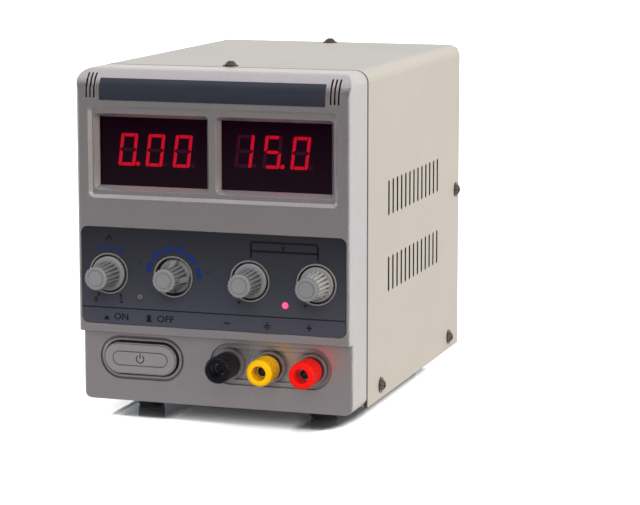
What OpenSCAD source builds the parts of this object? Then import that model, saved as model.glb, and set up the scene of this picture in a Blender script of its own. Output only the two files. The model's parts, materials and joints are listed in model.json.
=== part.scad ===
// Bench power supply: a steel cover with slotted sides over a sheet chassis, a moulded
// front with two digital meters, four knobs, a push button and three binding posts, and
// a finned heat sink at the rear. Millimetres. X runs to the right, Y from the front to
// the rear, Z up. The origin is on the table under the middle of the whole length.

/* [Case] */
// Width of the cover and of the front moulding
case_w = 125; // [124:1:150]
// Depth from the flat of the front to the rear edge of the cover
case_d = 180; // [176:1:230]
// Height of the cover from its lower edge to its top
cover_h = 147.6; // [145:0.1:180]
// Outer radius of the cover's two upper corners
corner_r = 5.4; // [4:0.1:8]
// Thickness of the cover's steel
cover_t = 1; // [0.8:0.1:1.5]
// Thickness of the chassis and rear panel steel
chassis_t = 1.2; // [1:0.1:2]
// Height of the chassis floor above the table
foot_h = 7.3; // [5:0.1:25]
// How far the cover's lower edge hangs below the chassis floor
cover_drop = 0.6; // [0.2:0.1:2]

/* [Side vents] */
// Slots in each of the four groups
vent_count = 13; // [5:1:15]
// Distance between two slots
vent_pitch = 6.8; // [5:0.1:7.5]
// Width of a slot
vent_w = 2.3; // [1.5:0.1:3]
// Length of a slot
vent_len = 16; // [8:0.5:22]
// Middle of the first slot behind the front face
vent_y = 58.2; // [50:0.1:70]
// Height of the lower group's middle above the cover's lower edge
vent_low = 54.2; // [45:0.1:60]
// Height of the upper group's middle above the lower group's
vent_rise = 34.3; // [25:0.1:45]

/* [Front moulding] */
// Depth of the front moulding from its flat face to the cover
bezel_d = 24.6; // [22:0.1:30]
// Wall of the front moulding
bezel_t = 2.5; // [2:0.1:3]
// Radius of the rolled upper front edge
roll_r = 10.5; // [8:0.1:12]
// Radius of the upright front edges
edge_r = 1.7; // [0.5:0.1:1.8]
// Radius of the two lower outer corners
foot_corner_r = 4; // [2:0.1:5]
// Height of the step between the chin and the upper face above the cover's lower edge
chin_h = 32.1; // [31.5:0.1:33]
// How far the chin lies behind the upper face
chin_back = 4.7; // [3.5:0.1:6]
// Gap between the moulding and the cover
seam = 0.5; // [0.2:0.1:1]

/* [Meters] */
// Distance from the case's side to the window next to it
window_edge = 9.45; // [9:0.05:12]
// Height of a meter window
window_h = 29.9; // [24:0.1:30]
// Distance between the two windows
window_gap = 6.7; // [5:0.1:8]
// Height of the windows' lower edge above the cover's lower edge
window_low = 96.6; // [96.5:0.1:98]
// Depth of a window behind the front face
window_deep = 4.6; // [3:0.1:6]
// How far the sloping border flares out on each side
window_flare = 1.8; // [0.5:0.1:2]
// Depth of the recess that holds both windows
display_deep = 1.6; // [0.8:0.1:1.8]
// Width of the recess's sloping side
display_slope = 1.5; // [0.8:0.1:1.5]
// Thickness of a window pane
pane_t = 1.6; // [1:0.1:2]
// Height of a digit
digit_h = 14.2; // [10:0.1:16]
// Distance between two digits
digit_pitch = 12.7; // [11:0.1:13]
// Place of the left meter's middle digit to the left of its window's middle
left_meter_in = 0.45; // [-1:0.1:2]
// Place of the right meter's middle digit to the left of its window's middle
right_meter_in = 3; // [-1:0.1:4]

/* [Controls] */
// Height of the control panel film's lower edge above the cover's lower edge
overlay_low = 35.8; // [35:0.1:36.5]
// Height of the control panel film
overlay_h = 42.6; // [40:0.1:44]
// Thickness of the printed films
film_t = 0.35; // [0.2:0.05:0.5]
// Height of the knob axes above the cover's lower edge
knob_row = 58.2; // [57:0.1:60]
// Distance of the two inner knobs from the middle
inner_knob_x = 17.6; // [16:0.1:19]
// Distance of the two outer knobs from the case's sides
outer_knob_in = 14.8; // [13.5:0.1:16.5]
// Radius of a knob's well in the moulding
well_r = 8.4; // [8.1:0.1:9]
// Radius of a knob's skirt
skirt_r = 7.55; // [6.8:0.05:7.8]
// Radius of a knob's fluted grip at the skirt
grip_r = 5.8; // [5:0.1:6.4]
// Length of a knob from the face of its skirt to its front
knob_h = 13.6; // [11:0.1:18]
// Flutes round a knob
flutes = 18; // [12:1:24]
// Diameter of the control shafts
shaft_dia = 6; // [5:0.1:6.2]
// How far the current knob's skirt stands out of the front face
current_out = 2; // [1:0.1:3]
// How far the voltage knobs' skirts stand out of the front face
voltage_out = 1.1; // [0.8:0.1:3]
// How far the range knob's skirt lies behind the front face
selector_in = 1.3; // [0:0.1:1.6]
// Height of the two lamps above the cover's lower edge
lamp_row = 48.3; // [47:0.1:49]
// Distance of the two lamps from the middle
lamp_x = 33.4; // [32:0.1:34]
// Diameter of a lamp
lamp_dia = 3; // [2.5:0.1:3.4]

/* [Button and terminals] */
// Height of the button and the terminals above the cover's lower edge
chin_row = 20.2; // [19.5:0.1:20.6]
// Distance of the button's middle from the middle of the chin's left half
button_off = 3.35; // [2:0.05:4.5]
// Width of the button
button_w = 33.5; // [30:0.1:35]
// Height of the button
button_h = 13.7; // [12:0.1:14]
// How far the pressed button stands out of the chin
button_out = 2.5; // [1:0.1:3]
// Travel of the button between on and off
button_travel = 3.5; // [2:0.1:4]
// Distance of the middle terminal from the middle of the chin's right half
terminals_off = 6.15; // [5.5:0.05:6.7]
// Distance between two terminals
terminal_pitch = 19.05; // [17:0.05:19.5]
// Diameter of a terminal cap
cap_dia = 11.8; // [11:0.1:13]
// Length of a terminal cap
cap_len = 12.8; // [11:0.1:15]
// Diameter of the plug socket in a terminal
socket_dia = 4; // [3.9:0.05:4.1]
// Outer diameter of a terminal's stud
stud_dia = 6; // [5.6:0.1:6.4]

/* [Rear] */
// Width of the heat sink
sink_w = 64; // [60:1:66]
// Height of the heat sink
sink_h = 96; // [80:1:104]
// Depth of the heat sink with its fins
sink_d = 21.5; // [15:0.5:40]
// Height of the heat sink's lower edge above the chassis floor
sink_low = 30; // [26:1:34]
// Thickness of the heat sink's base
sink_base = 4; // [3:0.1:6]
// Fins of the heat sink
sink_fins = 11; // [9:2:13]
// Height of the mains inlet's middle above the chassis floor
inlet_row = 30; // [26:1:36]
// Height of the voltage selector's middle above the chassis floor
selector_row = 62; // [58:1:66]
// Height of the fuse holder's middle above the chassis floor
fuse_row = 92; // [86:1:110]
// Place of the mains fittings to the right of the middle
mains_x = 34; // [32:0.5:38]

/* [Inside] */
// Length of the transformer's core
core_l = 66; // [60:1:70]
// Height of the transformer's core
core_h = 55; // [50:1:60]
// Thickness of the transformer's core
core_t = 33; // [24:1:36]
// Length of the main board
board_l = 124; // [110:1:126]
// Width of the main board
board_w = 50; // [46:1:52]
// Height of the main board above the chassis floor
board_up = 8; // [5:0.5:12]
// Thickness of the circuit boards
board_t = 1.6; // [1:0.1:2]

/* [Hidden] */
$fn = 64;

// Clearance between two pieces that are fixed to each other
snug = 0.05;
// Radial clearance of a turning shaft or thread
run = 0.06;
// Clearance of a piece that drops in or slides by hand
loose = 0.2;
// How far a cutting shape reaches past the face that it cuts
over = 1;

// Heights above the table
base_z = foot_h - cover_drop;
top_z = base_z + cover_h;
bezel_lift = 0.8;
bezel_low_z = base_z + bezel_lift;
chin_z = base_z + chin_h;
chin_row_z = base_z + chin_row;
knob_z = base_z + knob_row;
lamp_z = base_z + lamp_row;
overlay_z = base_z + overlay_low;
window_z = base_z + window_low;
floor_z = foot_h + chassis_t;
side_x = case_w / 2;
inner_x = side_x - cover_t;

// Widths that follow the case
window_w = side_x - window_edge - window_gap / 2;
outer_knob_x = side_x - outer_knob_in;
button_x = side_x / 2 + button_off;
terminals_x = side_x / 2 - terminals_off;

// The four knobs from left to right
knob_xs = [-outer_knob_x, -inner_knob_x, inner_knob_x, outer_knob_x];
current_i = 0;
selector_i = 1;
fine_i = 2;
coarse_i = 3;

// Wells of the knobs
well_deep = 6.5;
well_floor = 2;
well_wall = 1.6;
lip_out = 0.6;
lip_w = 0.65;
bush_r = 3.5;
bush_out = 4;
pot_front = well_deep + well_floor;
pot_r = 8.25;
pot_d = 8;
switch_r = 12.4;
nut_r = 5.6;
nut_t = 2;
shaft_r = shaft_dia / 2;
shaft_in = 5.5;
shaft_end = pot_front + shaft_in;

// Knobs
skirt_t = 2.2;
crown_t = 2.3;
crown_r = 4.95;
crown_neck_r = 2.2;
crown_neck = 1.8;
crown_proud = 0.35;
crown_edge = 0.7;
grip_flare = 0.4;
grip_over = 0.35;
flute_deep = 0.55;
flute_valley_r = 4.6;
knob_bore_cover = 4;
wing_t = 2.2;
wing_angle = -6;

// Films and meters
film_in = 0.4;
film_bevel = 0.4;
overlay_edge = 1.85;
overlay_r = 2.8;
strip_edge = 11.2;
strip_from_top = 13.4;
strip_h = 9.4;
slot_edge = 8.7;
slot_pitch = 1.8;
slot_w = 0.8;
slot_deep = 5.5;
slot_h = 10.5;
slot_from_top = 12.6;
frame_edge = 5.5;
frame_over = 5.3;
frame_r = 2.6;
window_r = 0.3;
window_pitch = window_w + window_gap;
pane_lap = 1.5;
pane_wall = 2.2;
pane_frame_w = 2 * (window_w + pane_lap + pane_wall) + window_gap;
pane_frame_h = window_h + 2 * (pane_lap + pane_wall);
pane_frame_z = window_z + window_h / 2;
pillar_r = 2;
meter_behind = 2.6;
meter_face = window_deep + pane_t + meter_behind;
meter_w = 37.6;
meter_h = 19;
meter_d = 8;
meter_board_y = meter_face + meter_d;
left_meter_up = 0.45;
right_meter_up = 1.6;
meter_zs = [pane_frame_z + left_meter_up, pane_frame_z + right_meter_up];
meter_xs = [-window_pitch / 2 - left_meter_in, window_pitch / 2 - right_meter_in];
segment_t = 0.2;
digit_w = 7.8;
digit_r = 0.9;
digit_slant = 7;
segment_w = 1.4;
segment_gap = 0.35;
point_r = 0.95;
point_x = 1.3;

// Lamps
lamp_out = 1;
lamp_rim = 0.4;
lamp_rim_t = 1;
lead_x = 0.9;
lead_r = 0.3;
control_board_edge = 4;

// Button and switch
button_gap = 0.4;
ring_w = 1.7;
groove_w = 0.8;
groove_deep = 0.7;
button_y = chin_back - button_out;
button_edge = 0.6;
button_front = 2.4;
button_wall = 1.8;
button_lip = 1.2;
button_lip_t = 1.2;
button_press = 0.8;
button_lip_y = chin_back + bezel_t + button_travel + loose;
button_back = button_lip_y + button_lip_t;
switch_gap = 0.5;
switch_y = button_back + button_press + switch_gap;
switch_w = 14.5;
switch_h = 12.5;
switch_d = 22;
plunger_w = 4;
plunger_in = 9;
plunger_seat = 3;
plunger_wall = 1.2;
ear_w = 28;
ear_t = 1.2;
ear_screw_x = 11;
ear_screw_r = 1.6;
tag_x = 4;
tag_z = 3;
tag_t = 0.8;
tag_w = 2.4;
tag_len = 6;
ring_out = 0.4;
oval_w = 26;
oval_h = 6.6;
oval_line = 0.45;
oval_deep = 0.35;

// Terminals
post_xs = [-terminal_pitch, 0, terminal_pitch];
pool_end = 8.8;
pool_w = 2 * (terminal_pitch + pool_end);
pool_h = 18.2;
pool_step = 2.3;
pool_deep_1 = 0.9;
pool_deep_2 = 0.7;
pool_y = chin_back + pool_deep_1 + pool_deep_2;
pool_wall = 2.7;
pool_back = pool_y + pool_wall;
boss_rim = 0.9;
boss_r = cap_dia / 2 + boss_rim;
boss_h = 3.2;
boss_y = pool_y - boss_h;
bush_flange = 1.2;
bush_wall = 1.2;
bush_neck_r = stud_dia / 2 + bush_wall;
bush_y = boss_y - bush_flange;
cap_y = bush_y - 2 * snug - cap_len;
cap_r = cap_dia / 2;
cap_teeth = 30;
cap_tooth = 0.28;
cap_edge = 1;
cap_taper = 2;
stud_r = stud_dia / 2;
stud_set_back = 5;
stud_y = cap_y + stud_set_back;
stud_behind = 13;
stud_back = pool_back + stud_behind;
socket_deep = 14;
insert_wall = 1.2;
insert_r = stud_r + insert_wall;
insert_in = 2;
insert_len = cap_len - stud_set_back - insert_in;
insert_fit = 0.04;
wire_hole_r = 1.1;
rear_bush_t = 2;
post_nut_t = 2.5;
post_nut_r = 6;

// Cover, chassis and rear panel
lap = 3.2;
chassis_y = bezel_d + lap + loose;
panel_set_back = 0.6;
panel_y = case_d - panel_set_back - chassis_t;
flange_gap = 0.25;
flange_x = inner_x - flange_gap;
flange_h = 18;
rear_flange_h = 12;
ceiling_z = top_z - cover_t - flange_gap;
screw_low = 6.1;
screw_front_y = 46.4;
screw_rear_in = 17.5;
screw_high = 77.4;
screw_high_in = 6.1;
screw_top_x = -2;
screw_top_y = 31;
screw_top_in = 6;
screw_r = 1.7;
screw_len = 6;
panel_screw_x = 50;
panel_screw_z = 7;
washer_r = 3.5;
washer_t = 0.6;
head_r = 2.8;
head_h = 1.75;
cross_len = 3.4;
cross_w = 0.8;
cross_deep = 1;
foot_r = 6.2;
foot_taper = 0.4;
foot_edge = 0.7;
foot_screw_r = 1.6;
foot_side = 21.5;
foot_x = side_x - foot_side;
foot_front_y = 31.2;
foot_rear_in = 22;
boss_in = 7;
low_boss_up = 7.5;
low_boss_z = bezel_low_z + low_boss_up;
high_boss_down = 13;
high_boss_z = top_z - high_boss_down;
boss_r_out = 3.4;
boss_hole_in = 8;
plate_side = 2;
plate_w = 2 * (flange_x - plate_side);
top_flange_w = 80;
top_flange_d = 10;
plate_edge = 16;
plate_above = 3;
plate_below_top = 21;
floor_slots = 6;
floor_slot_x = 22;
floor_slot_y = 18;
floor_slot_pitch = 9;
floor_slot_len = 18;
floor_slot_w = 3;
panel_lift = 0.3;
panel_flange_d = 12;
panel_top_w = 100;
panel_side_low = 2;
panel_side_down = 14;
panel_side_h = cover_h - flange_h - panel_side_down;

// Rear fittings
sink_side = 6.5;
sink_x = -side_x + sink_side + sink_w / 2;
sink_z = foot_h + sink_low;
back_y = panel_y + chassis_t;
fin_t = 1.8;
pad_w = 30;
pad_h = 44;
can_flange_r = 13;
can_flange_t = 1.6;
can_r = 10;
can_h = 8.5;
can_screw_z = 15.1;
can_ear_r = 4.6;
can_head_r = 2.9;
can_head_h = 4;
pin_x = 5.5;
pin_r = 0.5;
pin_len = 8;
pin_hole_r = 2;
inlet_w = 27;
inlet_h = 19.8;
inlet_d = 20;
inlet_flange_w = 31;
inlet_flange_h = 24;
inlet_flange_t = 2.4;
socket_w = 24.2;
socket_h = 16.4;
socket_in = 15;
socket_cut = 4.5;
blade_pitch = 14;
blade_rise = 4;
blade_t = 2;
blade_w = 4;
blade_tail = 7;
blade_in = 2.5;
fuse_r = 6.2;
fuse_flange_r = 8.6;
fuse_flange_t = 2.2;
fuse_d = 30;
fuse_cap_r = 5.4;
fuse_cap_out = 8;
fuse_cap_in = 6;
fuse_bore_r = 3;
fuse_nut_r = 9;
fuse_nut_t = 3;
fuse_grip = 1;
fuse_flutes = 16;
fuse_flute_r = 0.75;
slide_w = 9;
slide_h = 5.6;
slide_travel = 5;
slide_frame_w = 26;
slide_frame_h = 13;
slide_frame_d = 9;
slide_in = 3.8;
slide_out = 0.3;
slide_groove = 1.2;
slide_groove_deep = 0.9;

// Inside
board_side = 4.5;
board_x = side_x - board_side - board_w / 2;
board_front = 12;
board_y = chassis_y + board_front;
board_z = floor_z + board_up;
coil_out = 9;
coil_r = 3;
// The transformer stands midway between the cover's side and the main board
core_x = (board_x - board_w / 2 - inner_x) / 2;
core_front = 66;
core_y = chassis_y + core_front;
bracket_t = 1.2;
bracket_in = 2;
bracket_foot = 10;
bracket_screw_r = 2;
core_z = floor_z + bracket_t + snug;
limb_w = core_l / 6;
standoff_r = 3;
standoff_in = 4;
standoff_pin_r = 1.5;
standoff_head_r = 2.7;
standoff_head_h = 1.8;
capacitor_r = 11;
capacitor_h = 36;
capacitor_y = 78;
groove_z = 4;
groove_r = 1;
relay_w = 19;
relay_l = 15.5;
relay_h = 15.3;
relay_x = 12;
relay_y = 14;
bridge_w = 23;
bridge_l = 6;
bridge_h = 18;
bridge_y = 44;
bridge_cut = 5;
bridge_hole_r = 2;

// Overall length, from the frontmost knob or cap to the tips of the fins
front_reach = max([current_out + knob_h, voltage_out + knob_h, knob_h - selector_in, -cap_y]);
rear_reach = max([back_y + sink_d, back_y + fuse_flange_t + fuse_cap_out, case_d]);
shift_y = (front_reach - rear_reach) / 2;

// Puts the model's middle over the origin
module in_place() {
    translate([0, shift_y, 0]) children();
}

// Extrudes an outline drawn in X and Z from y0 to y1
module along_y(y0, y1) {
    translate([0, y1, 0]) rotate([90, 0, 0]) linear_extrude(y1 - y0) children();
}

// Extrudes an outline drawn in Y and Z from x0 to x1
module along_x(x0, x1) {
    translate([x0, 0, 0]) rotate([90, 0, 90]) linear_extrude(x1 - x0) children();
}

// A round bar along Y at a place in X and Z
module bar_y(x, z, y0, y1, r) {
    translate([x, y1, z]) rotate([90, 0, 0]) cylinder(h = y1 - y0, r = r);
}

// Revolves an outline of radius and depth about an axis along Y
module turned_y(x, y, z) {
    translate([x, y, z]) rotate([-90, 0, 0]) rotate_extrude() children();
}

// A rectangle with round corners about a centre
module round_rect(cx, cy, w, h, r) {
    translate([cx, cy]) {
        square([w - 2 * r, h], center = true);
        square([w, h - 2 * r], center = true);
        for (sx = [-1, 1], sy = [-1, 1])
            translate([sx * (w / 2 - r), sy * (h / 2 - r)]) circle(r);
    }
}

// A rectangle with half-round ends
module stadium(cx, cy, w, h) {
    translate([cx, cy]) {
        square([w - h, h], center = true);
        for (s = [-1, 1]) translate([s * (w - h) / 2, 0]) circle(h / 2);
    }
}

// Outline of the case seen from the front, set in by a margin on all sides
module front_outline(margin, low, low_r) {
    r = max(corner_r - margin, 0.5);
    lr = max(low_r - margin, 0.5);
    w = side_x - margin;
    z0 = low + margin;
    z1 = top_z - margin;
    translate([-w, z0 + lr]) square([2 * w, z1 - z0 - lr - r]);
    translate([-w + r, z1 - r - over]) square([2 * (w - r), r + over]);
    translate([-w + lr, z0]) square([2 * (w - lr), lr + over]);
    for (s = [-1, 1]) {
        translate([s * (w - r), z1 - r]) circle(r);
        translate([s * (w - lr), z0 + lr]) circle(lr);
    }
}

// A block in Y and Z whose upper front edge is rolled
module rolled_block(y0, z0, margin) {
    r = roll_r - margin;
    z1 = top_z - margin;
    difference() {
        translate([y0, z0]) square([bezel_d - y0, z1 - z0]);
        difference() {
            translate([y0 - over, z1 - r]) square([r + over, r + over]);
            translate([y0 + r, z1 - r]) circle(r);
        }
    }
}

// A rectangle from y0 back to y1 whose two front corners are round
module front_rounded(w, y0, y1, r) {
    translate([-w, y0 + r]) square([2 * w, y1 - y0 - r]);
    translate([-w + r, y0]) square([2 * (w - r), r + over]);
    for (s = [-1, 1]) translate([s * (w - r), y0 + r]) circle(r);
}

// The outer form of the front moulding: the upper face and the chin that lies behind it
module bezel_form() {
    intersection() {
        along_y(-over, bezel_d) front_outline(0, bezel_low_z, foot_corner_r);
        along_x(-side_x - over, side_x + over) rolled_block(0, chin_z, 0);
        translate([0, 0, chin_z - over]) linear_extrude(top_z)
            front_rounded(side_x, 0, bezel_d, edge_r);
    }
    intersection() {
        along_y(0, bezel_d) front_outline(0, bezel_low_z, foot_corner_r);
        translate([0, 0, bezel_low_z - over]) linear_extrude(chin_z - bezel_low_z + 2 * over)
            front_rounded(side_x, chin_back, bezel_d, edge_r);
    }
}

// The hollow behind the front moulding's walls
module bezel_hollow() {
    intersection() {
        along_y(0, bezel_d + lap + over) front_outline(bezel_t, bezel_low_z, foot_corner_r);
        along_x(-side_x, side_x) {
            rolled_block(bezel_t, chin_z + bezel_t, bezel_t);
            translate([chin_back + bezel_t, bezel_low_z])
                square([bezel_d, top_z - roll_r - bezel_low_z]);
            translate([bezel_d - over, bezel_low_z]) square([lap + 3 * over, cover_h]);
        }
    }
}

// An opening with round corners about x and z that narrows by slope on each side from y0 to y1
module sloped_cut(x, z, w, h, r, slope, y0, y1) {
    out = over * slope / (y1 - y0);
    translate([x, 0, z]) {
        for (sx = [-1, 1], sz = [-1, 1])
            translate([sx * (w / 2 - r), y1, sz * (h / 2 - r)]) rotate([90, 0, 0])
                cylinder(h = y1 - y0 + over, r1 = r - slope, r2 = r + out);
        along_x(-w / 2 + r, w / 2 - r) polygon([
            [y0 - over, -h / 2 - out], [y1, -h / 2 + slope], [y1, h / 2 - slope],
            [y0 - over, h / 2 + out]
        ]);
        translate([0, 0, -h / 2 + r]) linear_extrude(h - 2 * r) polygon([
            [-w / 2 - out, y0 - over], [-w / 2 + slope, y1], [w / 2 - slope, y1],
            [w / 2 + out, y0 - over]
        ]);
    }
}

// A bead with a round top that runs round a stadium, standing out of the chin
module stadium_bead(cx, cz, w, h, bead_w, proud, back_y) {
    r = (h - bead_w) / 2;
    run_w = w - h;
    module section() {
        translate([r - bead_w / 2, -back_y]) square([bead_w, back_y + proud - bead_w / 2]);
        translate([r, proud - bead_w / 2]) circle(bead_w / 2);
    }
    translate([cx, 0, cz]) rotate([90, 0, 0]) {
        for (s = [0, 1]) rotate([0, 0, 180 * s]) {
            translate([run_w / 2, 0, 0]) rotate([0, 0, -90]) rotate_extrude(angle = 180) section();
            translate([run_w / 2, 0, 0]) rotate([90, 0, -90]) linear_extrude(run_w) section();
        }
    }
}

module front_bezel() {
    color("silver") in_place() union() {
        difference() {
            union() {
                difference() {
                    bezel_form();
                    bezel_hollow();
                }
                bezel_tongue();
                bezel_fixtures();
            }
            meter_cuts();
            control_cuts();
            chin_cuts();
            // Thin slots in the roll beside the title strip
            for (s = [-1, 1], i = [0:2])
                translate([s * (side_x - slot_edge + slot_pitch * i) - slot_w / 2, -over,
                    top_z - slot_from_top])
                    cube([slot_w, slot_deep + over, slot_h]);
            boss_places([low_boss_z, high_boss_z])
                bar_y(0, 0, bezel_d - boss_hole_in, chassis_y + over, screw_r + snug);
        }
        bezel_beads();
    }
}

// Tongue that slips inside the cover, above the chassis floor
module bezel_tongue() {
    difference() {
        along_y(bezel_d - over, bezel_d + lap)
            front_outline(cover_t + loose, base_z + chassis_t, foot_corner_r);
        bezel_hollow();
        along_y(bezel_d - 2 * over, bezel_d + lap + over) translate([-side_x, 0])
            square([case_w, floor_z + bezel_t]);
    }
}

// Repeats what follows at the bosses of the chassis screws in the rows at the given heights
module boss_places(rows) {
    for (sx = [-1, 1], z = rows) translate([sx * (side_x - boss_in), 0, z]) children();
}

// What the moulding carries behind its face: pane frame, pillars, wells and bosses
module bezel_fixtures() {
    along_y(bezel_t - snug, window_deep + pane_t)
        round_rect(0, pane_frame_z, pane_frame_w, pane_frame_h, pillar_r);
    for (sx = [-1, 1], sz = [-1, 1])
        bar_y(sx * (pane_frame_w / 2 - pillar_r), pane_frame_z + sz * (pane_frame_h / 2 - pillar_r),
            window_deep, meter_board_y, pillar_r);
    for (x = knob_xs) {
        bar_y(x, knob_z, bezel_t - snug, pot_front, well_r + well_wall);
        bar_y(x, knob_z, -lip_out, bezel_t, well_r + lip_w);
    }
    // Thicker wall behind the terminals
    along_y(chin_back + bezel_t - snug, pool_back)
        stadium(terminals_x, chin_row_z, pool_w + 2, pool_h + 2);
    boss_places([low_boss_z]) bar_y(0, 0, chin_back + 1, chassis_y, boss_r_out);
    boss_places([high_boss_z]) bar_y(0, 0, 1, chassis_y, boss_r_out);
}

// The recess of the display, the meter windows in it and the pockets of their panes
module meter_cuts() {
    pocket_w = window_w + 2 * pane_lap;
    pocket_h = window_h + 2 * pane_lap;
    sloped_cut(0, pane_frame_z, case_w - 2 * frame_edge, window_h + 2 * frame_over, frame_r,
        display_slope, 0, display_deep);
    for (s = [-1, 1]) {
        x = s * window_pitch / 2;
        sloped_cut(x, pane_frame_z, window_w + 2 * window_flare, window_h + 2 * window_flare,
            window_flare + window_r, window_flare, display_deep, window_deep);
        along_y(window_deep - snug, window_deep + over)
            round_rect(x, pane_frame_z, window_w, window_h, window_r);
        along_y(window_deep, window_deep + pane_t + over)
            translate([x - pocket_w / 2, pane_frame_z - pocket_h / 2])
            square([pocket_w, pocket_h]);
    }
}

// Seat of the control film, the wells and the holes of the bushes and lamps
module control_cuts() {
    difference() {
        sloped_cut(0, overlay_z + overlay_h / 2, case_w - 2 * (overlay_edge - film_bevel),
            overlay_h + 2 * film_bevel, overlay_r + film_bevel, film_bevel, 0, film_in);
        for (x = knob_xs) bar_y(x, knob_z, -lip_out - over, over, well_r + lip_w);
    }
    for (x = knob_xs) {
        bar_y(x, knob_z, -over, well_deep, well_r);
        bar_y(x, knob_z, 0, pot_front + over, bush_r + snug);
    }
    for (s = [-1, 1]) bar_y(s * lamp_x, lamp_z, -over, bezel_t + over, lamp_dia / 2 + snug);
}

// Opening and groove of the button, and two steps down to the holes of the terminals
module chin_cuts() {
    hole_w = button_w + 2 * button_gap;
    hole_h = button_h + 2 * button_gap;
    ring = 2 * (ring_w + groove_w);
    along_y(-over, chin_back + bezel_t + over) stadium(-button_x, chin_row_z, hole_w, hole_h);
    along_y(-over, chin_back + groove_deep) difference() {
        stadium(-button_x, chin_row_z, hole_w + ring, hole_h + ring);
        stadium(-button_x, chin_row_z, hole_w, hole_h);
    }
    along_y(-over, chin_back + pool_deep_1) stadium(terminals_x, chin_row_z, pool_w, pool_h);
    along_y(0, pool_y)
        stadium(terminals_x, chin_row_z, pool_w - 2 * pool_step, pool_h - 2 * pool_step);
    for (x = post_xs)
        bar_y(terminals_x + x, chin_row_z, 0, pool_back + over, bush_neck_r + snug);
}

// The raised bead round the button and the collars under the terminal caps
module bezel_beads() {
    hole_w = button_w + 2 * button_gap;
    hole_h = button_h + 2 * button_gap;
    stadium_bead(-button_x, chin_row_z, hole_w + 2 * ring_w, hole_h + 2 * ring_w, ring_w,
        ring_out - chin_back, chin_back + groove_deep);
    for (x = post_xs) difference() {
        bar_y(terminals_x + x, chin_row_z, boss_y, pool_y + snug, boss_r);
        bar_y(terminals_x + x, chin_row_z, boss_y - over, pool_y + over, bush_neck_r + snug);
    }
}

module title_strip() {
    color("slategray") in_place() intersection() {
        difference() {
            along_x(-side_x + strip_edge, side_x - strip_edge)
                translate([-film_t, 0]) rolled_block(0, chin_z, 0);
            along_x(-side_x, side_x) rolled_block(0, chin_z, 0);
        }
        translate([-side_x, -over, top_z - strip_from_top]) cube([case_w, roll_r, strip_h]);
    }
}

module control_overlay() {
    color("dimgray") in_place() difference() {
        along_y(film_in - film_t, film_in) round_rect(0, overlay_z + overlay_h / 2,
            case_w - 2 * overlay_edge - loose, overlay_h - loose, overlay_r - loose / 2);
        for (x = knob_xs) bar_y(x, knob_z, -over, over, well_r + lip_w + snug);
        for (s = [-1, 1]) bar_y(s * lamp_x, lamp_z, -over, over, lamp_dia / 2 + snug);
    }
}

// A smoked pane behind a meter window
module pane(side) {
    w = window_w + 2 * pane_lap - loose;
    h = window_h + 2 * pane_lap - loose;
    color("darkred") in_place() along_y(window_deep, window_deep + pane_t)
        translate([side * window_pitch / 2 - w / 2, pane_frame_z - h / 2]) square([w, h]);
}

module current_window() {
    pane(-1);
}

module voltage_window() {
    pane(1);
}

module display_modules() {
    color("black") in_place() for (i = [0, 1])
        translate([meter_xs[i] - meter_w / 2, meter_face, meter_zs[i] - meter_h / 2])
        cube([meter_w, meter_d - snug, meter_h]);
}

// The seven bars of a digit and its point
module digit() {
    w = segment_w;
    gap = segment_gap;
    side = digit_w / 2;
    tall = digit_h / 2;
    intersection() {
        round_rect(0, 0, digit_w, digit_h, digit_r);
        union() {
            for (s = [-1, 1]) translate([0, s * (tall - w / 2)])
                square([digit_w - 2 * (w + gap), w], center = true);
            for (sx = [-1, 1], sz = [-1, 1]) polygon([
                [sx * side, sz * gap / 2], [sx * side, sz * tall], [sx * (side - w), sz * tall],
                [sx * (side - w), sz * (w / 2 + gap)]
            ]);
        }
    }
    // The middle bar has pointed ends
    half = side - 2 * gap;
    polygon([
        [-half, 0], [w - half, w / 2], [half - w, w / 2], [half, 0], [half - w, -w / 2],
        [w - half, -w / 2]
    ]);
    translate([side + point_x, point_r - tall]) circle(point_r);
}

module display_segments() {
    lean = tan(digit_slant);
    color("red") in_place() for (m = [0, 1], i = [-1:1])
        along_y(meter_face - segment_t, meter_face)
        multmatrix([[1, lean, 0, meter_xs[m] + i * digit_pitch], [0, 1, 0, meter_zs[m]],
            [0, 0, 1, 0]])
        digit();
}

module display_board() {
    color("darkgreen") in_place() along_y(meter_board_y, meter_board_y + board_t)
        translate([-pane_frame_w / 2, pane_frame_z - pane_frame_h / 2])
        square([pane_frame_w, pane_frame_h]);
}

module control_board() {
    y = pot_front + pot_d;
    z = lamp_z - control_board_edge;
    w = 2 * outer_knob_x + 2 * pot_r;
    color("darkgreen") in_place() along_y(y, y + board_t)
        translate([-w / 2, z]) square([w, knob_z + switch_r - z]);
}

// A circle with rounded flutes, their floors a little flatter than the ribs between them
module fluted(r, deep) {
    steps = flutes * 6;
    polygon([for (i = [0:steps - 1]) let (a = 360 * i / steps, c = cos(a * flutes))
        (r - deep * (1 - c) / 2 * (c < 0 ? 1 : 0.8)) * [cos(a), sin(a)]]);
}

// Outline of a knob's grip from its skirt to its crown, as radius and depth
module grip_profile(front) {
    face = front + knob_h;
    polygon([
        [0, front + crown_t], [crown_r + 0.1, front + crown_t], [grip_r, face - grip_flare],
        [grip_r + grip_flare, face], [grip_r + grip_flare, face + skirt_t / 2],
        [0, face + skirt_t / 2]
    ]);
}

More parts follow.
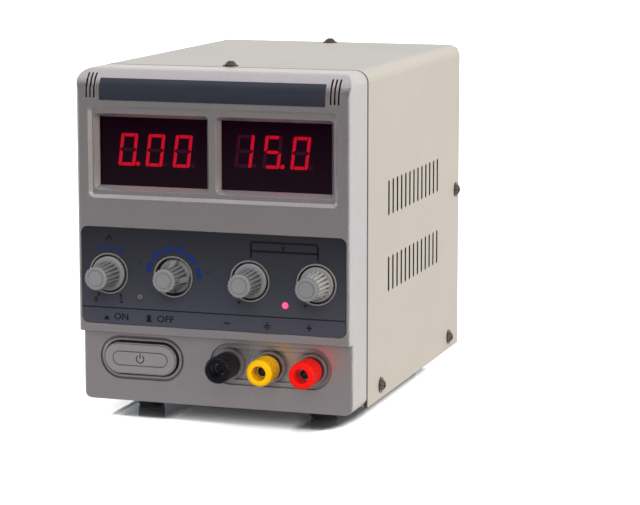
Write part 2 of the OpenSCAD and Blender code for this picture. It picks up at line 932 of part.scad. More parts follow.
// A knob: a skirt with a fluted grip and a blind bore, its skirt's face at face_y
module knob_body(x, face_y) {
    front = face_y - knob_h;
    in_place() difference() {
        union() {
            turned_y(x, 0, knob_z) polygon([
                [0, face_y], [skirt_r - 0.5, face_y], [skirt_r, face_y + 0.5],
                [skirt_r, face_y + skirt_t], [0, face_y + skirt_t]
            ]);
            intersection() {
                translate([x, front + crown_t, knob_z]) rotate([-90, 0, 0])
                    linear_extrude(knob_h)
                    fluted(grip_r + grip_over, grip_r + grip_over - flute_valley_r);
                turned_y(x, 0, knob_z) grip_profile(front);
            }
        }
        bar_y(x, knob_z, front + knob_bore_cover, face_y + skirt_t + over, shaft_r + snug);
        bar_y(x, knob_z, front, front + crown_t + crown_neck + snug, crown_neck_r + snug);
    }
}

// The crown that closes a knob's front, with a raised middle and a plug into the grip
module knob_crown(x, face_y) {
    front = face_y - knob_h;
    rim_r = crown_r + 0.3;
    middle_r = rim_r * 0.6;
    in_place() union() {
        intersection() {
            translate([x, front - over, knob_z]) rotate([-90, 0, 0])
                linear_extrude(crown_t + over) fluted(rim_r, flute_deep * 0.7);
            turned_y(x, front, knob_z) polygon([
                [0, 0], [middle_r, 0], [middle_r, crown_proud], [middle_r + 0.5, crown_proud],
                [middle_r + 0.7, 0.1], [rim_r - 0.6, 0.1], [rim_r, crown_edge],
                [rim_r, crown_t], [0, crown_t]
            ]);
        }
        bar_y(x, knob_z, front + crown_t - 0.5, front + crown_t + crown_neck, crown_neck_r);
    }
}

// A control shaft from its potentiometer into its knob
module shaft(x, face_y) {
    color("gainsboro") in_place() bar_y(x, knob_z,
        face_y - knob_h + knob_bore_cover + 2 * snug, shaft_end, shaft_r);
}

module current_knob() {
    color("silver") knob_body(knob_xs[current_i], -current_out);
}

module current_knob_cap() {
    color("silver") knob_crown(knob_xs[current_i], -current_out);
}

module current_shaft() {
    shaft(knob_xs[current_i], -current_out);
}

module selector_knob() {
    x = knob_xs[selector_i];
    color("silver") knob_body(x, selector_in);
    // Four wings, one of which points at the print
    color("silver") in_place() for (i = [0:3])
        translate([x, 0, knob_z]) rotate([0, -wing_angle - 90 * i, 0]) wing();
}

// One sloping wing of the range knob, drawn along X from the axis outwards
module wing() {
    tip_r = skirt_r - 0.3;
    y1 = selector_in + skirt_t / 2;
    y0 = selector_in - knob_h * 0.62;
    translate([0, 0, -wing_t / 2]) linear_extrude(wing_t) polygon([
        [shaft_r + 1, y1], [tip_r, y1], [tip_r, selector_in - 2], [crown_r - 0.3, y0],
        [shaft_r + 1, y0]
    ]);
}

module selector_knob_cap() {
    color("silver") knob_crown(knob_xs[selector_i], selector_in);
}

module selector_shaft() {
    shaft(knob_xs[selector_i], selector_in);
}

module fine_knob() {
    color("silver") knob_body(knob_xs[fine_i], -voltage_out);
}

module fine_knob_cap() {
    color("silver") knob_crown(knob_xs[fine_i], -voltage_out);
}

module fine_shaft() {
    shaft(knob_xs[fine_i], -voltage_out);
}

module coarse_knob() {
    color("ivory") knob_body(knob_xs[coarse_i], -voltage_out);
}

module coarse_knob_cap() {
    color("silver") knob_crown(knob_xs[coarse_i], -voltage_out);
}

module coarse_shaft() {
    shaft(knob_xs[coarse_i], -voltage_out);
}

// Body, bush and shaft hole of a control behind the panel
module control_body(x, body_r) {
    difference() {
        union() {
            bar_y(x, knob_z, pot_front, pot_front + pot_d, body_r);
            bar_y(x, knob_z, bush_out, pot_front + snug, bush_r);
        }
        bar_y(x, knob_z, 0, shaft_end + 2 * snug, shaft_r + run);
    }
}

module potentiometers() {
    color("darkgray") in_place() for (i = [current_i, fine_i, coarse_i])
        control_body(knob_xs[i], pot_r);
}

module range_switch() {
    color("darkslategray") in_place() control_body(knob_xs[selector_i], switch_r);
}

// A six-sided nut round an axis along Y
module nut(x, z, y0, t, r, hole_r) {
    difference() {
        translate([x, y0 + t, z]) rotate([90, 0, 0]) cylinder(h = t, r = r, $fn = 6);
        bar_y(x, z, y0 - over, y0 + t + over, hole_r);
    }
}

module panel_nuts() {
    color("gainsboro") in_place() {
        for (x = knob_xs) nut(x, knob_z, well_deep - nut_t, nut_t, nut_r, bush_r + snug);
        for (x = post_xs)
            nut(terminals_x + x, chin_row_z, pool_back + rear_bush_t, post_nut_t, post_nut_r,
                stud_r + snug);
    }
}

// A small lamp with a dome, a rim and two leads to the control board
module lamp(x) {
    r = lamp_dia / 2;
    rim_y = bezel_t + snug;
    in_place() {
        turned_y(x, 0, lamp_z) {
            translate([0, r - lamp_out]) intersection() {
                circle(r);
                translate([0, -r]) square([r, r + snug]);
            }
            translate([0, r - lamp_out]) square([r, rim_y + lamp_rim_t - r + lamp_out]);
            translate([0, rim_y]) square([r + lamp_rim, lamp_rim_t]);
        }
        for (s = [-1, 1])
            bar_y(x + s * lead_x, lamp_z, rim_y + lamp_rim_t / 2, pot_front + pot_d, lead_r);
    }
}

module limit_lamp() {
    color("gray") lamp(-lamp_x);
}

module output_lamp() {
    color("red") lamp(lamp_x);
}

module power_button() {
    socket = plunger_w / 2 + plunger_wall;
    hole = plunger_w + 2 * snug;
    color("silver") in_place() difference() {
        union() {
            along_y(button_y + button_edge, button_back)
                stadium(-button_x, chin_row_z, button_w, button_h);
            along_y(button_y, button_back) stadium(-button_x, chin_row_z,
                button_w - 2 * button_edge, button_h - 2 * button_edge);
            along_y(button_lip_y, button_back) stadium(-button_x, chin_row_z,
                button_w + 2 * button_lip, button_h + 2 * button_lip);
        }
        // Hollow rear with a square socket left standing for the plunger
        difference() {
            along_y(button_y + button_front, button_back + over) stadium(-button_x, chin_row_z,
                button_w - 2 * button_wall, button_h - 2 * button_wall);
            translate([-button_x - socket, button_y, chin_row_z - socket])
                cube([2 * socket, button_back - button_y, 2 * socket]);
        }
        translate([-button_x - hole / 2, button_y + plunger_seat, chin_row_z - hole / 2])
            cube([hole, button_back, hole]);
        // Engraved oval
        along_y(button_y - over, button_y + oval_deep) difference() {
            stadium(-button_x, chin_row_z, oval_w, oval_h);
            stadium(-button_x, chin_row_z, oval_w - 2 * oval_line, oval_h - 2 * oval_line);
        }
    }
}

module switch_plunger() {
    y0 = button_y + plunger_seat + snug;
    color("white") in_place() translate([-button_x - plunger_w / 2, y0, chin_row_z - plunger_w / 2])
        cube([plunger_w, switch_y + plunger_in - y0, plunger_w]);
}

module power_switch() {
    hole = plunger_w + 2 * run;
    color("black") in_place() difference() {
        union() {
            translate([-button_x - switch_w / 2, switch_y, chin_row_z - switch_h / 2])
                cube([switch_w, switch_d, switch_h]);
            // Ears that rest on the front of the chassis
            translate([-button_x - ear_w / 2, chassis_y - ear_t, chin_row_z - switch_h / 2])
                cube([ear_w, ear_t, switch_h]);
            for (sx = [-1, 1], sz = [-1, 1])
                translate([-button_x + sx * tag_x - tag_t / 2, switch_y + switch_d - over,
                    chin_row_z + sz * tag_z - tag_w / 2])
                cube([tag_t, tag_len, tag_w]);
        }
        for (s = [-1, 1]) bar_y(-button_x + s * ear_screw_x, chin_row_z,
            chassis_y - ear_t - over, chassis_y + over, ear_screw_r);
        translate([-button_x - hole / 2, switch_y - over, chin_row_z - hole / 2])
            cube([hole, over + plunger_in + button_press + 0.3, hole]);
    }
}

// A terminal cap with a finely fluted side, a plug hole and a pocket for its insert
module terminal_cap(i) {
    x = terminals_x + post_xs[i];
    steps = cap_teeth * 4;
    end_y = cap_y + cap_len;
    in_place() difference() {
        intersection() {
            translate([x, cap_y, chin_row_z]) rotate([-90, 0, 0]) linear_extrude(cap_len)
                polygon([for (k = [0:steps - 1]) let (a = 360 * k / steps)
                    (cap_r - (k % 4 < 2 ? 0 : cap_tooth)) * [cos(a), sin(a)]]);
            turned_y(x, cap_y, chin_row_z) polygon([
                [0, 0], [cap_r - cap_edge, 0], [cap_r, cap_edge], [cap_r, cap_len - cap_taper],
                [cap_r - cap_taper / 3, cap_len], [0, cap_len]
            ]);
        }
        bar_y(x, chin_row_z, cap_y - over, end_y + over, stud_r + loose);
        bar_y(x, chin_row_z, end_y - insert_len, end_y + over, insert_r + insert_fit);
    }
}

module negative_cap() {
    color("black") terminal_cap(0);
}

module ground_cap() {
    color("gold") terminal_cap(1);
}

module positive_cap() {
    color("red") terminal_cap(2);
}

// The threaded sleeve inside a cap, which runs on the stud
module terminal_insert(i) {
    x = terminals_x + post_xs[i];
    end_y = cap_y + cap_len;
    color("goldenrod") in_place() difference() {
        bar_y(x, chin_row_z, end_y - insert_len + insert_fit, end_y - 2 * snug, insert_r);
        bar_y(x, chin_row_z, cap_y, end_y, stud_r + run);
    }
}

module negative_insert() {
    terminal_insert(0);
}

module ground_insert() {
    terminal_insert(1);
}

module positive_insert() {
    terminal_insert(2);
}

// A stud with the plug socket in its front end and a hole from above for a bare wire
module terminal_stud(i) {
    x = terminals_x + post_xs[i];
    color("silver") in_place() difference() {
        bar_y(x, chin_row_z, stud_y, stud_back, stud_r);
        bar_y(x, chin_row_z, stud_y - over, stud_y + socket_deep, socket_dia / 2);
        translate([x, bush_y - 2.4, chin_row_z]) cylinder(h = stud_dia, r = wire_hole_r);
    }
}

module negative_stud() {
    terminal_stud(0);
}

module ground_stud() {
    terminal_stud(1);
}

module positive_stud() {
    terminal_stud(2);
}

// Insulating bushes: a flanged one in front of the wall and a washer behind it
module post_bushes() {
    color("dimgray") in_place() for (x = post_xs) difference() {
        union() {
            bar_y(terminals_x + x, chin_row_z, bush_y, boss_y, cap_r - loose);
            bar_y(terminals_x + x, chin_row_z, bush_y, pool_back + over, bush_neck_r);
            bar_y(terminals_x + x, chin_row_z, pool_back, pool_back + rear_bush_t, cap_r);
        }
        bar_y(terminals_x + x, chin_row_z, 0, pool_back + rear_bush_t + over, stud_r + snug);
    }
}

// The places of the cover's screws: side ones as [y, z], top ones as [x, y]
side_screws = [
    [screw_front_y, base_z + screw_low], [case_d - screw_rear_in, base_z + screw_low],
    [case_d - screw_high_in, base_z + screw_high]
];
top_screws = [[screw_top_x, screw_top_y], [screw_top_x, case_d - screw_top_in]];

module top_cover() {
    y0 = bezel_d + seam;
    color("beige") in_place() difference() {
        along_y(y0, case_d) difference() {
            front_outline(0, base_z - 2 * corner_r, corner_r);
            front_outline(cover_t, base_z - 3 * corner_r, corner_r);
            translate([-side_x - over, base_z - 4 * corner_r])
                square([case_w + 2 * over, 4 * corner_r]);
        }
        // Four groups of slots, cut through both sides at once
        along_x(-side_x - over, side_x + over)
            for (k = [0, 1], i = [0:vent_count - 1])
                translate([vent_y + vent_pitch * i, base_z + vent_low + vent_rise * k]) rotate(90)
                    stadium(0, 0, vent_len, vent_w);
        side_screw_holes();
        for (p = top_screws) translate([p[0], p[1], top_z - cover_t - over])
            cylinder(h = cover_t + 2 * over, r = screw_r + snug);
    }
}

// A domed screw with a cross and a washer, seated on a face at z = 0 and pointing down
module screw() {
    cylinder(h = washer_t, r = washer_r);
    dome_r = (head_r * head_r + head_h * head_h) / (2 * head_h);
    translate([0, 0, washer_t]) difference() {
        intersection() {
            translate([0, 0, head_h - dome_r]) sphere(dome_r);
            cylinder(h = head_h, r = head_r);
        }
        for (a = [0, 90]) rotate([0, 0, a])
            translate([-cross_len / 2, -cross_w / 2, head_h - cross_deep])
            cube([cross_len, cross_w, 2 * cross_deep]);
    }
    translate([0, 0, -screw_len]) cylinder(h = screw_len + washer_t, r = screw_r);
}

module case_screws() {
    color("gray") in_place() {
        for (p = side_screws, s = [-1, 1])
            translate([s * side_x, p[0], p[1]]) rotate([0, s * 90, 0]) screw();
        for (p = top_screws) translate([p[0], p[1], top_z]) screw();
        for (s = [-1, 1]) translate([s * panel_screw_x, back_y, foot_h + panel_screw_z])
            rotate([-90, 0, 0]) screw();
        // Screws that hold the front moulding's bosses to the chassis
        boss_places([low_boss_z, high_boss_z]) translate([0, chassis_y + chassis_t, 0])
            rotate([-90, 0, 0]) screw();
    }
}

module chassis() {
    color("lightsteelblue") in_place() difference() {
        union() {
            // Floor, front plate with its top flange, side flanges and rear flange
            translate([-flange_x, bezel_d + snug, foot_h])
                cube([2 * flange_x, panel_y - bezel_d - snug, chassis_t]);
            translate([-plate_w / 2, chassis_y, foot_h])
                cube([plate_w, chassis_t, ceiling_z - foot_h]);
            translate([-top_flange_w / 2, chassis_y, ceiling_z - chassis_t])
                cube([top_flange_w, top_flange_d, chassis_t]);
            for (s = [-1, 1])
                translate([s * (flange_x - chassis_t / 2) - chassis_t / 2, chassis_y, foot_h])
                cube([chassis_t, panel_y - chassis_y, flange_h]);
            translate([-plate_w / 2, panel_y - chassis_t, foot_h])
                cube([plate_w, chassis_t, rear_flange_h]);
        }
        plate_openings();
        // Ventilation slots in the floor
        translate([0, 0, foot_h - over]) linear_extrude(chassis_t + 2 * over)
            for (s = [-1, 1], i = [0:floor_slots - 1])
                translate([s * floor_slot_x, chassis_y + floor_slot_y + floor_slot_pitch * i])
                stadium(0, 0, floor_slot_len, floor_slot_w);
        side_screw_holes();
        translate([screw_top_x, screw_top_y, ceiling_z - 2 * chassis_t])
            cylinder(h = 3 * chassis_t, r = screw_r + snug);
        foot_places() translate([0, 0, foot_h - over])
            cylinder(h = chassis_t + 2 * over, r = foot_screw_r);
        panel_screw_holes();
    }
}

// Openings in the chassis's front plate for the controls, the switch and the terminals
module plate_openings() {
    well = pool_h / 2 - 2;
    along_y(chassis_y - over, chassis_y + chassis_t + over) {
        translate([-side_x + plate_edge, chin_z + plate_above])
            square([2 * (side_x - plate_edge), top_z - chin_z - plate_above - plate_below_top]);
        translate([-button_x - switch_w / 2 - loose, chin_row_z - switch_h / 2 - loose])
            square([switch_w + 2 * loose, switch_h + 2 * loose]);
        for (s = [-1, 1]) translate([-button_x + s * ear_screw_x, chin_row_z]) circle(ear_screw_r);
        translate([terminals_x - terminal_pitch - well, chin_row_z - well])
            square([2 * (terminal_pitch + well), 2 * well]);
    }
    boss_places([low_boss_z, high_boss_z])
        bar_y(0, 0, chassis_y - over, chassis_y + chassis_t + over, screw_r + snug);
}

// Holes of the cover's side screws through both sides
module side_screw_holes() {
    for (p = side_screws) translate([-side_x - over, p[0], p[1]]) rotate([0, 90, 0])
        cylinder(h = case_w + 2 * over, r = screw_r + snug);
}

// Holes through the rear panel and the chassis flange in front of it
module panel_screw_holes() {
    for (s = [-1, 1]) bar_y(s * panel_screw_x, foot_h + panel_screw_z,
        panel_y - chassis_t - over, back_y + over, screw_r + snug);
}

module foot_places() {
    for (s = [-1, 1], y = [foot_front_y, case_d - foot_rear_in])
        translate([s * foot_x, y, 0]) children();
}

module rear_panel() {
    w = 2 * flange_x;
    low = foot_h + panel_lift;
    flange_y = panel_y - panel_flange_d;
    color("lightsteelblue") in_place() difference() {
        union() {
            translate([-w / 2, panel_y, low]) cube([w, chassis_t, ceiling_z - low]);
            translate([-panel_top_w / 2, flange_y, ceiling_z - chassis_t])
                cube([panel_top_w, panel_flange_d + snug, chassis_t]);
            for (s = [-1, 1]) translate([s * (w / 2 - chassis_t / 2) - chassis_t / 2,
                flange_y, foot_h + flange_h + panel_side_low])
                cube([chassis_t, panel_flange_d + snug, panel_side_h]);
        }
        along_y(panel_y - over, panel_y + chassis_t + over) {
            translate([mains_x - inlet_w / 2 - snug, foot_h + inlet_row - inlet_h / 2 - snug])
                square([inlet_w + 2 * snug, inlet_h + 2 * snug]);
            translate([mains_x - (slide_w + slide_travel) / 2 - loose,
                foot_h + selector_row - slide_h / 2 - loose])
                square([slide_w + slide_travel + 2 * loose, slide_h + 2 * loose]);
            translate([mains_x, foot_h + fuse_row]) circle(fuse_r + snug);
            // Clearance of the transistor's two pins
            for (s = [-1, 1]) translate([sink_x + s * pin_x, sink_z + sink_h / 2])
                circle(pin_hole_r);
        }
        side_screw_holes();
        translate([screw_top_x, case_d - screw_top_in, ceiling_z - 2 * chassis_t])
            cylinder(h = 3 * chassis_t, r = screw_r + snug);
        panel_screw_holes();
    }
}

module feet() {
    // Tapered towards the table, with a plug that fills its hole in the floor
    color("black") in_place() foot_places() rotate_extrude() polygon([
        [0, 0], [foot_r - foot_taper - foot_edge, 0], [foot_r - foot_taper, foot_edge],
        [foot_r, foot_h], [foot_screw_r - snug, foot_h],
        [foot_screw_r - snug, foot_h + chassis_t], [0, foot_h + chassis_t]
    ]);
}

module heat_sink() {
    step = (sink_w - fin_t) / (sink_fins - 1);
    middle_z = sink_z + sink_h / 2;
    color("dimgray") in_place() difference() {
        translate([sink_x - sink_w / 2, back_y, sink_z]) linear_extrude(sink_h) {
            square([sink_w, sink_base]);
            for (i = [0:sink_fins - 1]) translate([step * i, 0]) square([fin_t, sink_d]);
        }
        // Flat seat of the transistor
        translate([sink_x - pad_w / 2, back_y + sink_base, middle_z - pad_h / 2])
            cube([pad_w, sink_d, pad_h]);
        for (s = [-1, 1])
            bar_y(sink_x + s * pin_x, middle_z, back_y - over, back_y + sink_base + over, pin_hole_r);
    }
}

// A power transistor in an oval case, held by two screws
module output_transistor() {
    cz = sink_z + sink_h / 2;
    y = back_y + sink_base;
    color("silver") in_place() {
        along_y(y, y + can_flange_t) {
            translate([sink_x, cz]) circle(can_flange_r);
            for (s = [-1, 1]) translate([sink_x, cz + s * can_screw_z]) circle(can_ear_r);
            translate([sink_x - can_flange_r / 2, cz - can_screw_z])
                square([can_flange_r, 2 * can_screw_z]);
        }
        bar_y(sink_x, cz, y + can_flange_t - snug, y + can_h, can_r);
        for (s = [-1, 1]) {
            bar_y(sink_x, cz + s * can_screw_z, y + can_flange_t - snug, y + can_head_h, can_head_r);
            bar_y(sink_x + s * pin_x, cz, back_y - pin_len, y + snug, pin_r);
        }
    }
}

// Outline of a three-pin appliance inlet, with its two upper corners cut
module inlet_shape(w, h, cut) {
    polygon([
        [-w / 2, -h / 2], [w / 2, -h / 2], [w / 2, h / 2 - cut], [w / 2 - cut, h / 2],
        [-w / 2 + cut, h / 2], [-w / 2, h / 2 - cut]
    ]);
}

module inlet() {
    z = foot_h + inlet_row;
    face = back_y + inlet_flange_t;
    color("black") in_place() difference() {
        union() {
            along_y(back_y, face) round_rect(mains_x, z, inlet_flange_w, inlet_flange_h, 2);
            along_y(back_y - inlet_d, back_y + snug)
                translate([mains_x - inlet_w / 2, z - inlet_h / 2]) square([inlet_w, inlet_h]);
        }
        along_y(face - socket_in, face + over) translate([mains_x, z])
            inlet_shape(socket_w, socket_h, socket_cut);
        for (p = blade_places) translate([mains_x + p[0] - blade_t / 2 - snug,
            back_y - inlet_d - over, z + p[1] - blade_w / 2 - snug])
            cube([blade_t + 2 * snug, inlet_d, blade_w + 2 * snug]);
    }
}

// Places of the inlet's blades about its middle
blade_places = [
    [-blade_pitch / 2, -blade_rise / 2], [blade_pitch / 2, -blade_rise / 2], [0, blade_rise / 2]
];

module inlet_pins() {
    z = foot_h + inlet_row;
    y0 = back_y - inlet_d - blade_tail;
    y1 = back_y + inlet_flange_t - blade_in;
    color("silver") in_place() for (p = blade_places)
        translate([mains_x + p[0] - blade_t / 2, y0, z + p[1] - blade_w / 2])
        cube([blade_t, y1 - y0, blade_w]);
}

module fuse_holder() {
    z = foot_h + fuse_row;
    face = back_y + fuse_flange_t;
    color("black") in_place() difference() {
        union() {
            bar_y(mains_x, z, back_y, face, fuse_flange_r);
            bar_y(mains_x, z, back_y - fuse_d, back_y + snug, fuse_r);
            nut(mains_x, z, panel_y - fuse_nut_t, fuse_nut_t, fuse_nut_r, fuse_r - snug);
            // Solder tag
            translate([mains_x - tag_t / 2, back_y - fuse_d - tag_len, z - tag_w / 2])
                cube([tag_t, tag_len + over, tag_w]);
        }
        bar_y(mains_x, z, face - fuse_cap_in - loose, face + over, fuse_cap_r + run);
        bar_y(mains_x, z, face - fuse_d + 2 * fuse_bore_r, face, fuse_bore_r);
    }
}

module fuse_cap() {
    z = foot_h + fuse_row;
    face = back_y + fuse_flange_t;
    grip_r_out = fuse_cap_r + fuse_grip;
    slot_in = 1.8;
    color("black") in_place() difference() {
        union() {
            bar_y(mains_x, z, face - fuse_cap_in, face + fuse_cap_out, fuse_cap_r);
            bar_y(mains_x, z, face + loose, face + fuse_cap_out - 0.6, grip_r_out);
        }
        // Slot for a screwdriver
        translate([mains_x - fuse_cap_r + slot_in / 2, face + fuse_cap_out - slot_in, z - 0.7])
            cube([2 * fuse_cap_r - slot_in, 2 * slot_in, 1.4]);
        for (i = [0:fuse_flutes - 1]) translate([mains_x, 0, z])
            rotate([0, i * 360 / fuse_flutes, 0])
            bar_y(grip_r_out + 0.5, 0, face, face + fuse_cap_out, fuse_flute_r);
    }
}

module voltage_selector() {
    z = foot_h + selector_row;
    color("black") in_place() difference() {
        translate([mains_x - slide_frame_w / 2, panel_y - slide_frame_d, z - slide_frame_h / 2])
            cube([slide_frame_w, slide_frame_d - snug, slide_frame_h]);
        translate([mains_x - (slide_w + slide_travel) / 2 - loose, panel_y - slide_in - loose,
            z - slide_h / 2 - loose])
            cube([slide_w + slide_travel + 2 * loose, slide_in + over, slide_h + 2 * loose]);
    }
}

module selector_slider() {
    z = foot_h + selector_row;
    x0 = mains_x - (slide_w + slide_travel) / 2;
    color("red") in_place() difference() {
        translate([x0, panel_y - slide_in, z - slide_h / 2])
            cube([slide_w, slide_in + chassis_t + slide_out, slide_h]);
        translate([x0 + (slide_w - slide_groove) / 2, back_y + slide_out - slide_groove_deep,
            z - slide_h / 2 - over])
            cube([slide_groove, 2 * slide_groove_deep, slide_h + 2 * over]);
    }
}

// Laminated core: a block with two windows through which the coil passes
module transformer_core() {
    color("slategray") in_place() difference() {
        translate([core_x - core_t / 2, core_y - core_l / 2, core_z]) cube([core_t, core_l, core_h]);
        for (s = [-1, 1]) translate([core_x - core_t, core_y + s * limb_w * 1.5 - limb_w / 2,
            core_z + limb_w])
            cube([2 * core_t, limb_w, core_h - 2 * limb_w]);
    }
}

module transformer_windings() {
    h = core_h - 2 * limb_w - 2 * loose;
    w = 4 * limb_w - 2 * loose;
    color("peru") in_place() difference() {
        along_y(core_y - w / 2, core_y + w / 2) round_rect(core_x, core_z + core_h / 2,
            core_t + 2 * coil_out, h, coil_r);
        translate([core_x - core_t / 2 - loose, core_y - limb_w - loose, core_z])
            cube([core_t + 2 * loose, 2 * limb_w + 2 * loose, core_h]);
    }
}

// Strap over the core with two feet on the chassis floor
module transformer_bracket() {
    t = bracket_t;
    l = core_l + 2 * snug;
    h = core_h + t + 2 * snug;
    w = core_t - 2 * bracket_in;
    color("silver") in_place() translate([core_x, core_y, floor_z]) difference() {
        union() {
            translate([-w / 2, -l / 2 - t, 0]) cube([w, l + 2 * t, h + t]);
            translate([-w / 2, -l / 2 - bracket_foot, 0]) cube([w, l + 2 * bracket_foot, t]);
        }
        translate([-core_t / 2, -l / 2, t]) cube([core_t, l, h - t]);
        for (s = [-1, 1]) translate([0, s * (l / 2 + bracket_foot / 2 + t / 2), -over])
            cylinder(h = t + 2 * over, r = bracket_screw_r);
    }
}

module standoff_places() {
    for (sx = [-1, 1], y = [board_y + standoff_in, board_y + board_l - standoff_in])
        translate([board_x + sx * (board_w / 2 - standoff_in), y, 0]) children();
}

module main_board() {
    color("darkgreen") in_place() difference() {
        translate([board_x - board_w / 2, board_y, board_z]) cube([board_w, board_l, board_t]);
        standoff_places() translate([0, 0, board_z - over])
            cylinder(h = board_t + 2 * over, r = standoff_pin_r + snug);
    }
}

module board_standoffs() {
    color("gold") in_place() standoff_places() {
        translate([0, 0, floor_z]) cylinder(h = board_up, r = standoff_r, $fn = 6);
        translate([0, 0, board_z - snug]) cylinder(h = board_t + 2 * snug, r = standoff_pin_r);
        translate([0, 0, board_z + board_t]) cylinder(h = standoff_head_h, r = standoff_head_r);
    }
}

module capacitors() {
    color("midnightblue") in_place() for (s = [-1, 1])
        translate([board_x + s * (capacitor_r + 1), board_y + capacitor_y, board_z + board_t])
        rotate_extrude() difference() {
            square([capacitor_r, capacitor_h]);
            translate([capacitor_r + groove_r / 2, groove_z]) circle(groove_r);
            translate([0, capacitor_h - 0.5]) square([capacitor_r - 2, 1]);
        }
}

module relays() {
    color("royalblue") in_place() for (s = [-1, 1])
        translate([board_x + s * relay_x - relay_w / 2, board_y + relay_y, board_z + board_t])
        cube([relay_w, relay_l, relay_h]);
}

module bridge_rectifier() {
    color("black") in_place() translate([board_x, board_y + bridge_y, board_z + board_t])
        difference() {
            along_y(0, bridge_l) polygon([
                [-bridge_w / 2, 0], [bridge_w / 2, 0], [bridge_w / 2, bridge_h],
                [-bridge_w / 2 + bridge_cut, bridge_h], [-bridge_w / 2, bridge_h - bridge_cut]
            ]);
            bar_y(0, bridge_h * 0.65, -over, bridge_l + over, bridge_hole_r);
        }
}

front_bezel();
title_strip();
control_overlay();
current_window();
voltage_window();
display_modules();
display_segments();
display_board();
control_board();
current_knob();
current_knob_cap();
current_shaft();
selector_knob();
selector_knob_cap();
selector_shaft();
fine_knob();
fine_knob_cap();
fine_shaft();
coarse_knob();
coarse_knob_cap();
coarse_shaft();
potentiometers();
range_switch();
panel_nuts();
limit_lamp();
output_lamp();
power_button();
switch_plunger();
power_switch();
negative_cap();
ground_cap();
positive_cap();
negative_insert();
ground_insert();
positive_insert();
negative_stud();
ground_stud();
positive_stud();
post_bushes();
top_cover();
case_screws();
chassis();
rear_panel();
feet();
heat_sink();
output_transistor();
inlet();
inlet_pins();
fuse_holder();
fuse_cap();
voltage_selector();
selector_slider();
transformer_core();
transformer_windings();
transformer_bracket();
main_board();
board_standoffs();
capacitors();
relays();
bridge_rectifier();
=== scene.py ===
"""Looks of the bench power supply: the finish of every solid, the print on its front, and a plain
studio round it. Lengths are metres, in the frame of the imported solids: X to the right, Y from the
front to the rear, Z up."""

import json
import logging
import math
from dataclasses import dataclass, field, replace
from enum import Enum
from typing import Callable, NamedTuple

import bpy
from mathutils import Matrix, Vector

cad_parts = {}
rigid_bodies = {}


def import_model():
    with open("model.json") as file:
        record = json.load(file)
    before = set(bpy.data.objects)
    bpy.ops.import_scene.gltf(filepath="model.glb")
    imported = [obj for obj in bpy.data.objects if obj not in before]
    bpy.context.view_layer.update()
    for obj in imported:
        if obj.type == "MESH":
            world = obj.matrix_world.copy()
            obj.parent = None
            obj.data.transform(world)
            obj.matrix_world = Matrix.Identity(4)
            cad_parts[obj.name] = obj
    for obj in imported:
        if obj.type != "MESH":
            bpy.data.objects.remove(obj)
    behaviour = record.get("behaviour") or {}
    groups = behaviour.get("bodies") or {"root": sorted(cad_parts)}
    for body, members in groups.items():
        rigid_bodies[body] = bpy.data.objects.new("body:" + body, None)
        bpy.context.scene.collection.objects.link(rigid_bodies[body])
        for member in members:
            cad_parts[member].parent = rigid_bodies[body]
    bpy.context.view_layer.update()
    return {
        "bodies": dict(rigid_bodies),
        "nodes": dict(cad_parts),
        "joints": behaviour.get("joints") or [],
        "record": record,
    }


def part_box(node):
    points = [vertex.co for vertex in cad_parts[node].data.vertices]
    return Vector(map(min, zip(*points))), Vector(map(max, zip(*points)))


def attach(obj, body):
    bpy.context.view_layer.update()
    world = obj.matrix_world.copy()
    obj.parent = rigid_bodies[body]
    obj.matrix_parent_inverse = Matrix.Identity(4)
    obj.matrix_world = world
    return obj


Colour = tuple[float, float, float]
Place = tuple[float, float, float]
Pair = tuple[float, float]
Node = bpy.types.Node
Socket = bpy.types.NodeSocket
Piece = bpy.types.Object
Face = bpy.types.MeshPolygon

MM = 0.001
LOG = logging.getLogger("supply")
FACING_FRONT = (math.radians(90), 0.0, 0.0)
ORIGIN = (0.0, 0.0, 0.0)
WHITE = (1.0, 1.0, 1.0)


def rgba(colour: Colour) -> tuple[float, float, float, float]:
    """Gives a colour its full alpha."""
    return (*colour, 1.0)


def times(colour: Colour, factor: float) -> Colour:
    """A colour made lighter or darker."""
    return tuple(c * factor for c in colour)


def new_material(name: str) -> bpy.types.Material:
    """A material that has a node tree.

    Args:
        name: Its name.

    Returns:
        The material.
    """
    material = bpy.data.materials.new(name)
    material.use_nodes = True
    return material


class Spot(NamedTuple):
    """A place on the front, X to the right and Z up."""

    x: float
    z: float

    def moved(self, right: float, up: float) -> "Spot":
        """The place this far to the right and up."""
        return Spot(self.x + right, self.z + up)

    def around(self, radius: float, turn: float) -> "Spot":
        """The place at this radius and angle, in degrees counter-clockwise from the right."""
        angle = math.radians(turn)
        return self.moved(radius * math.cos(angle), radius * math.sin(angle))


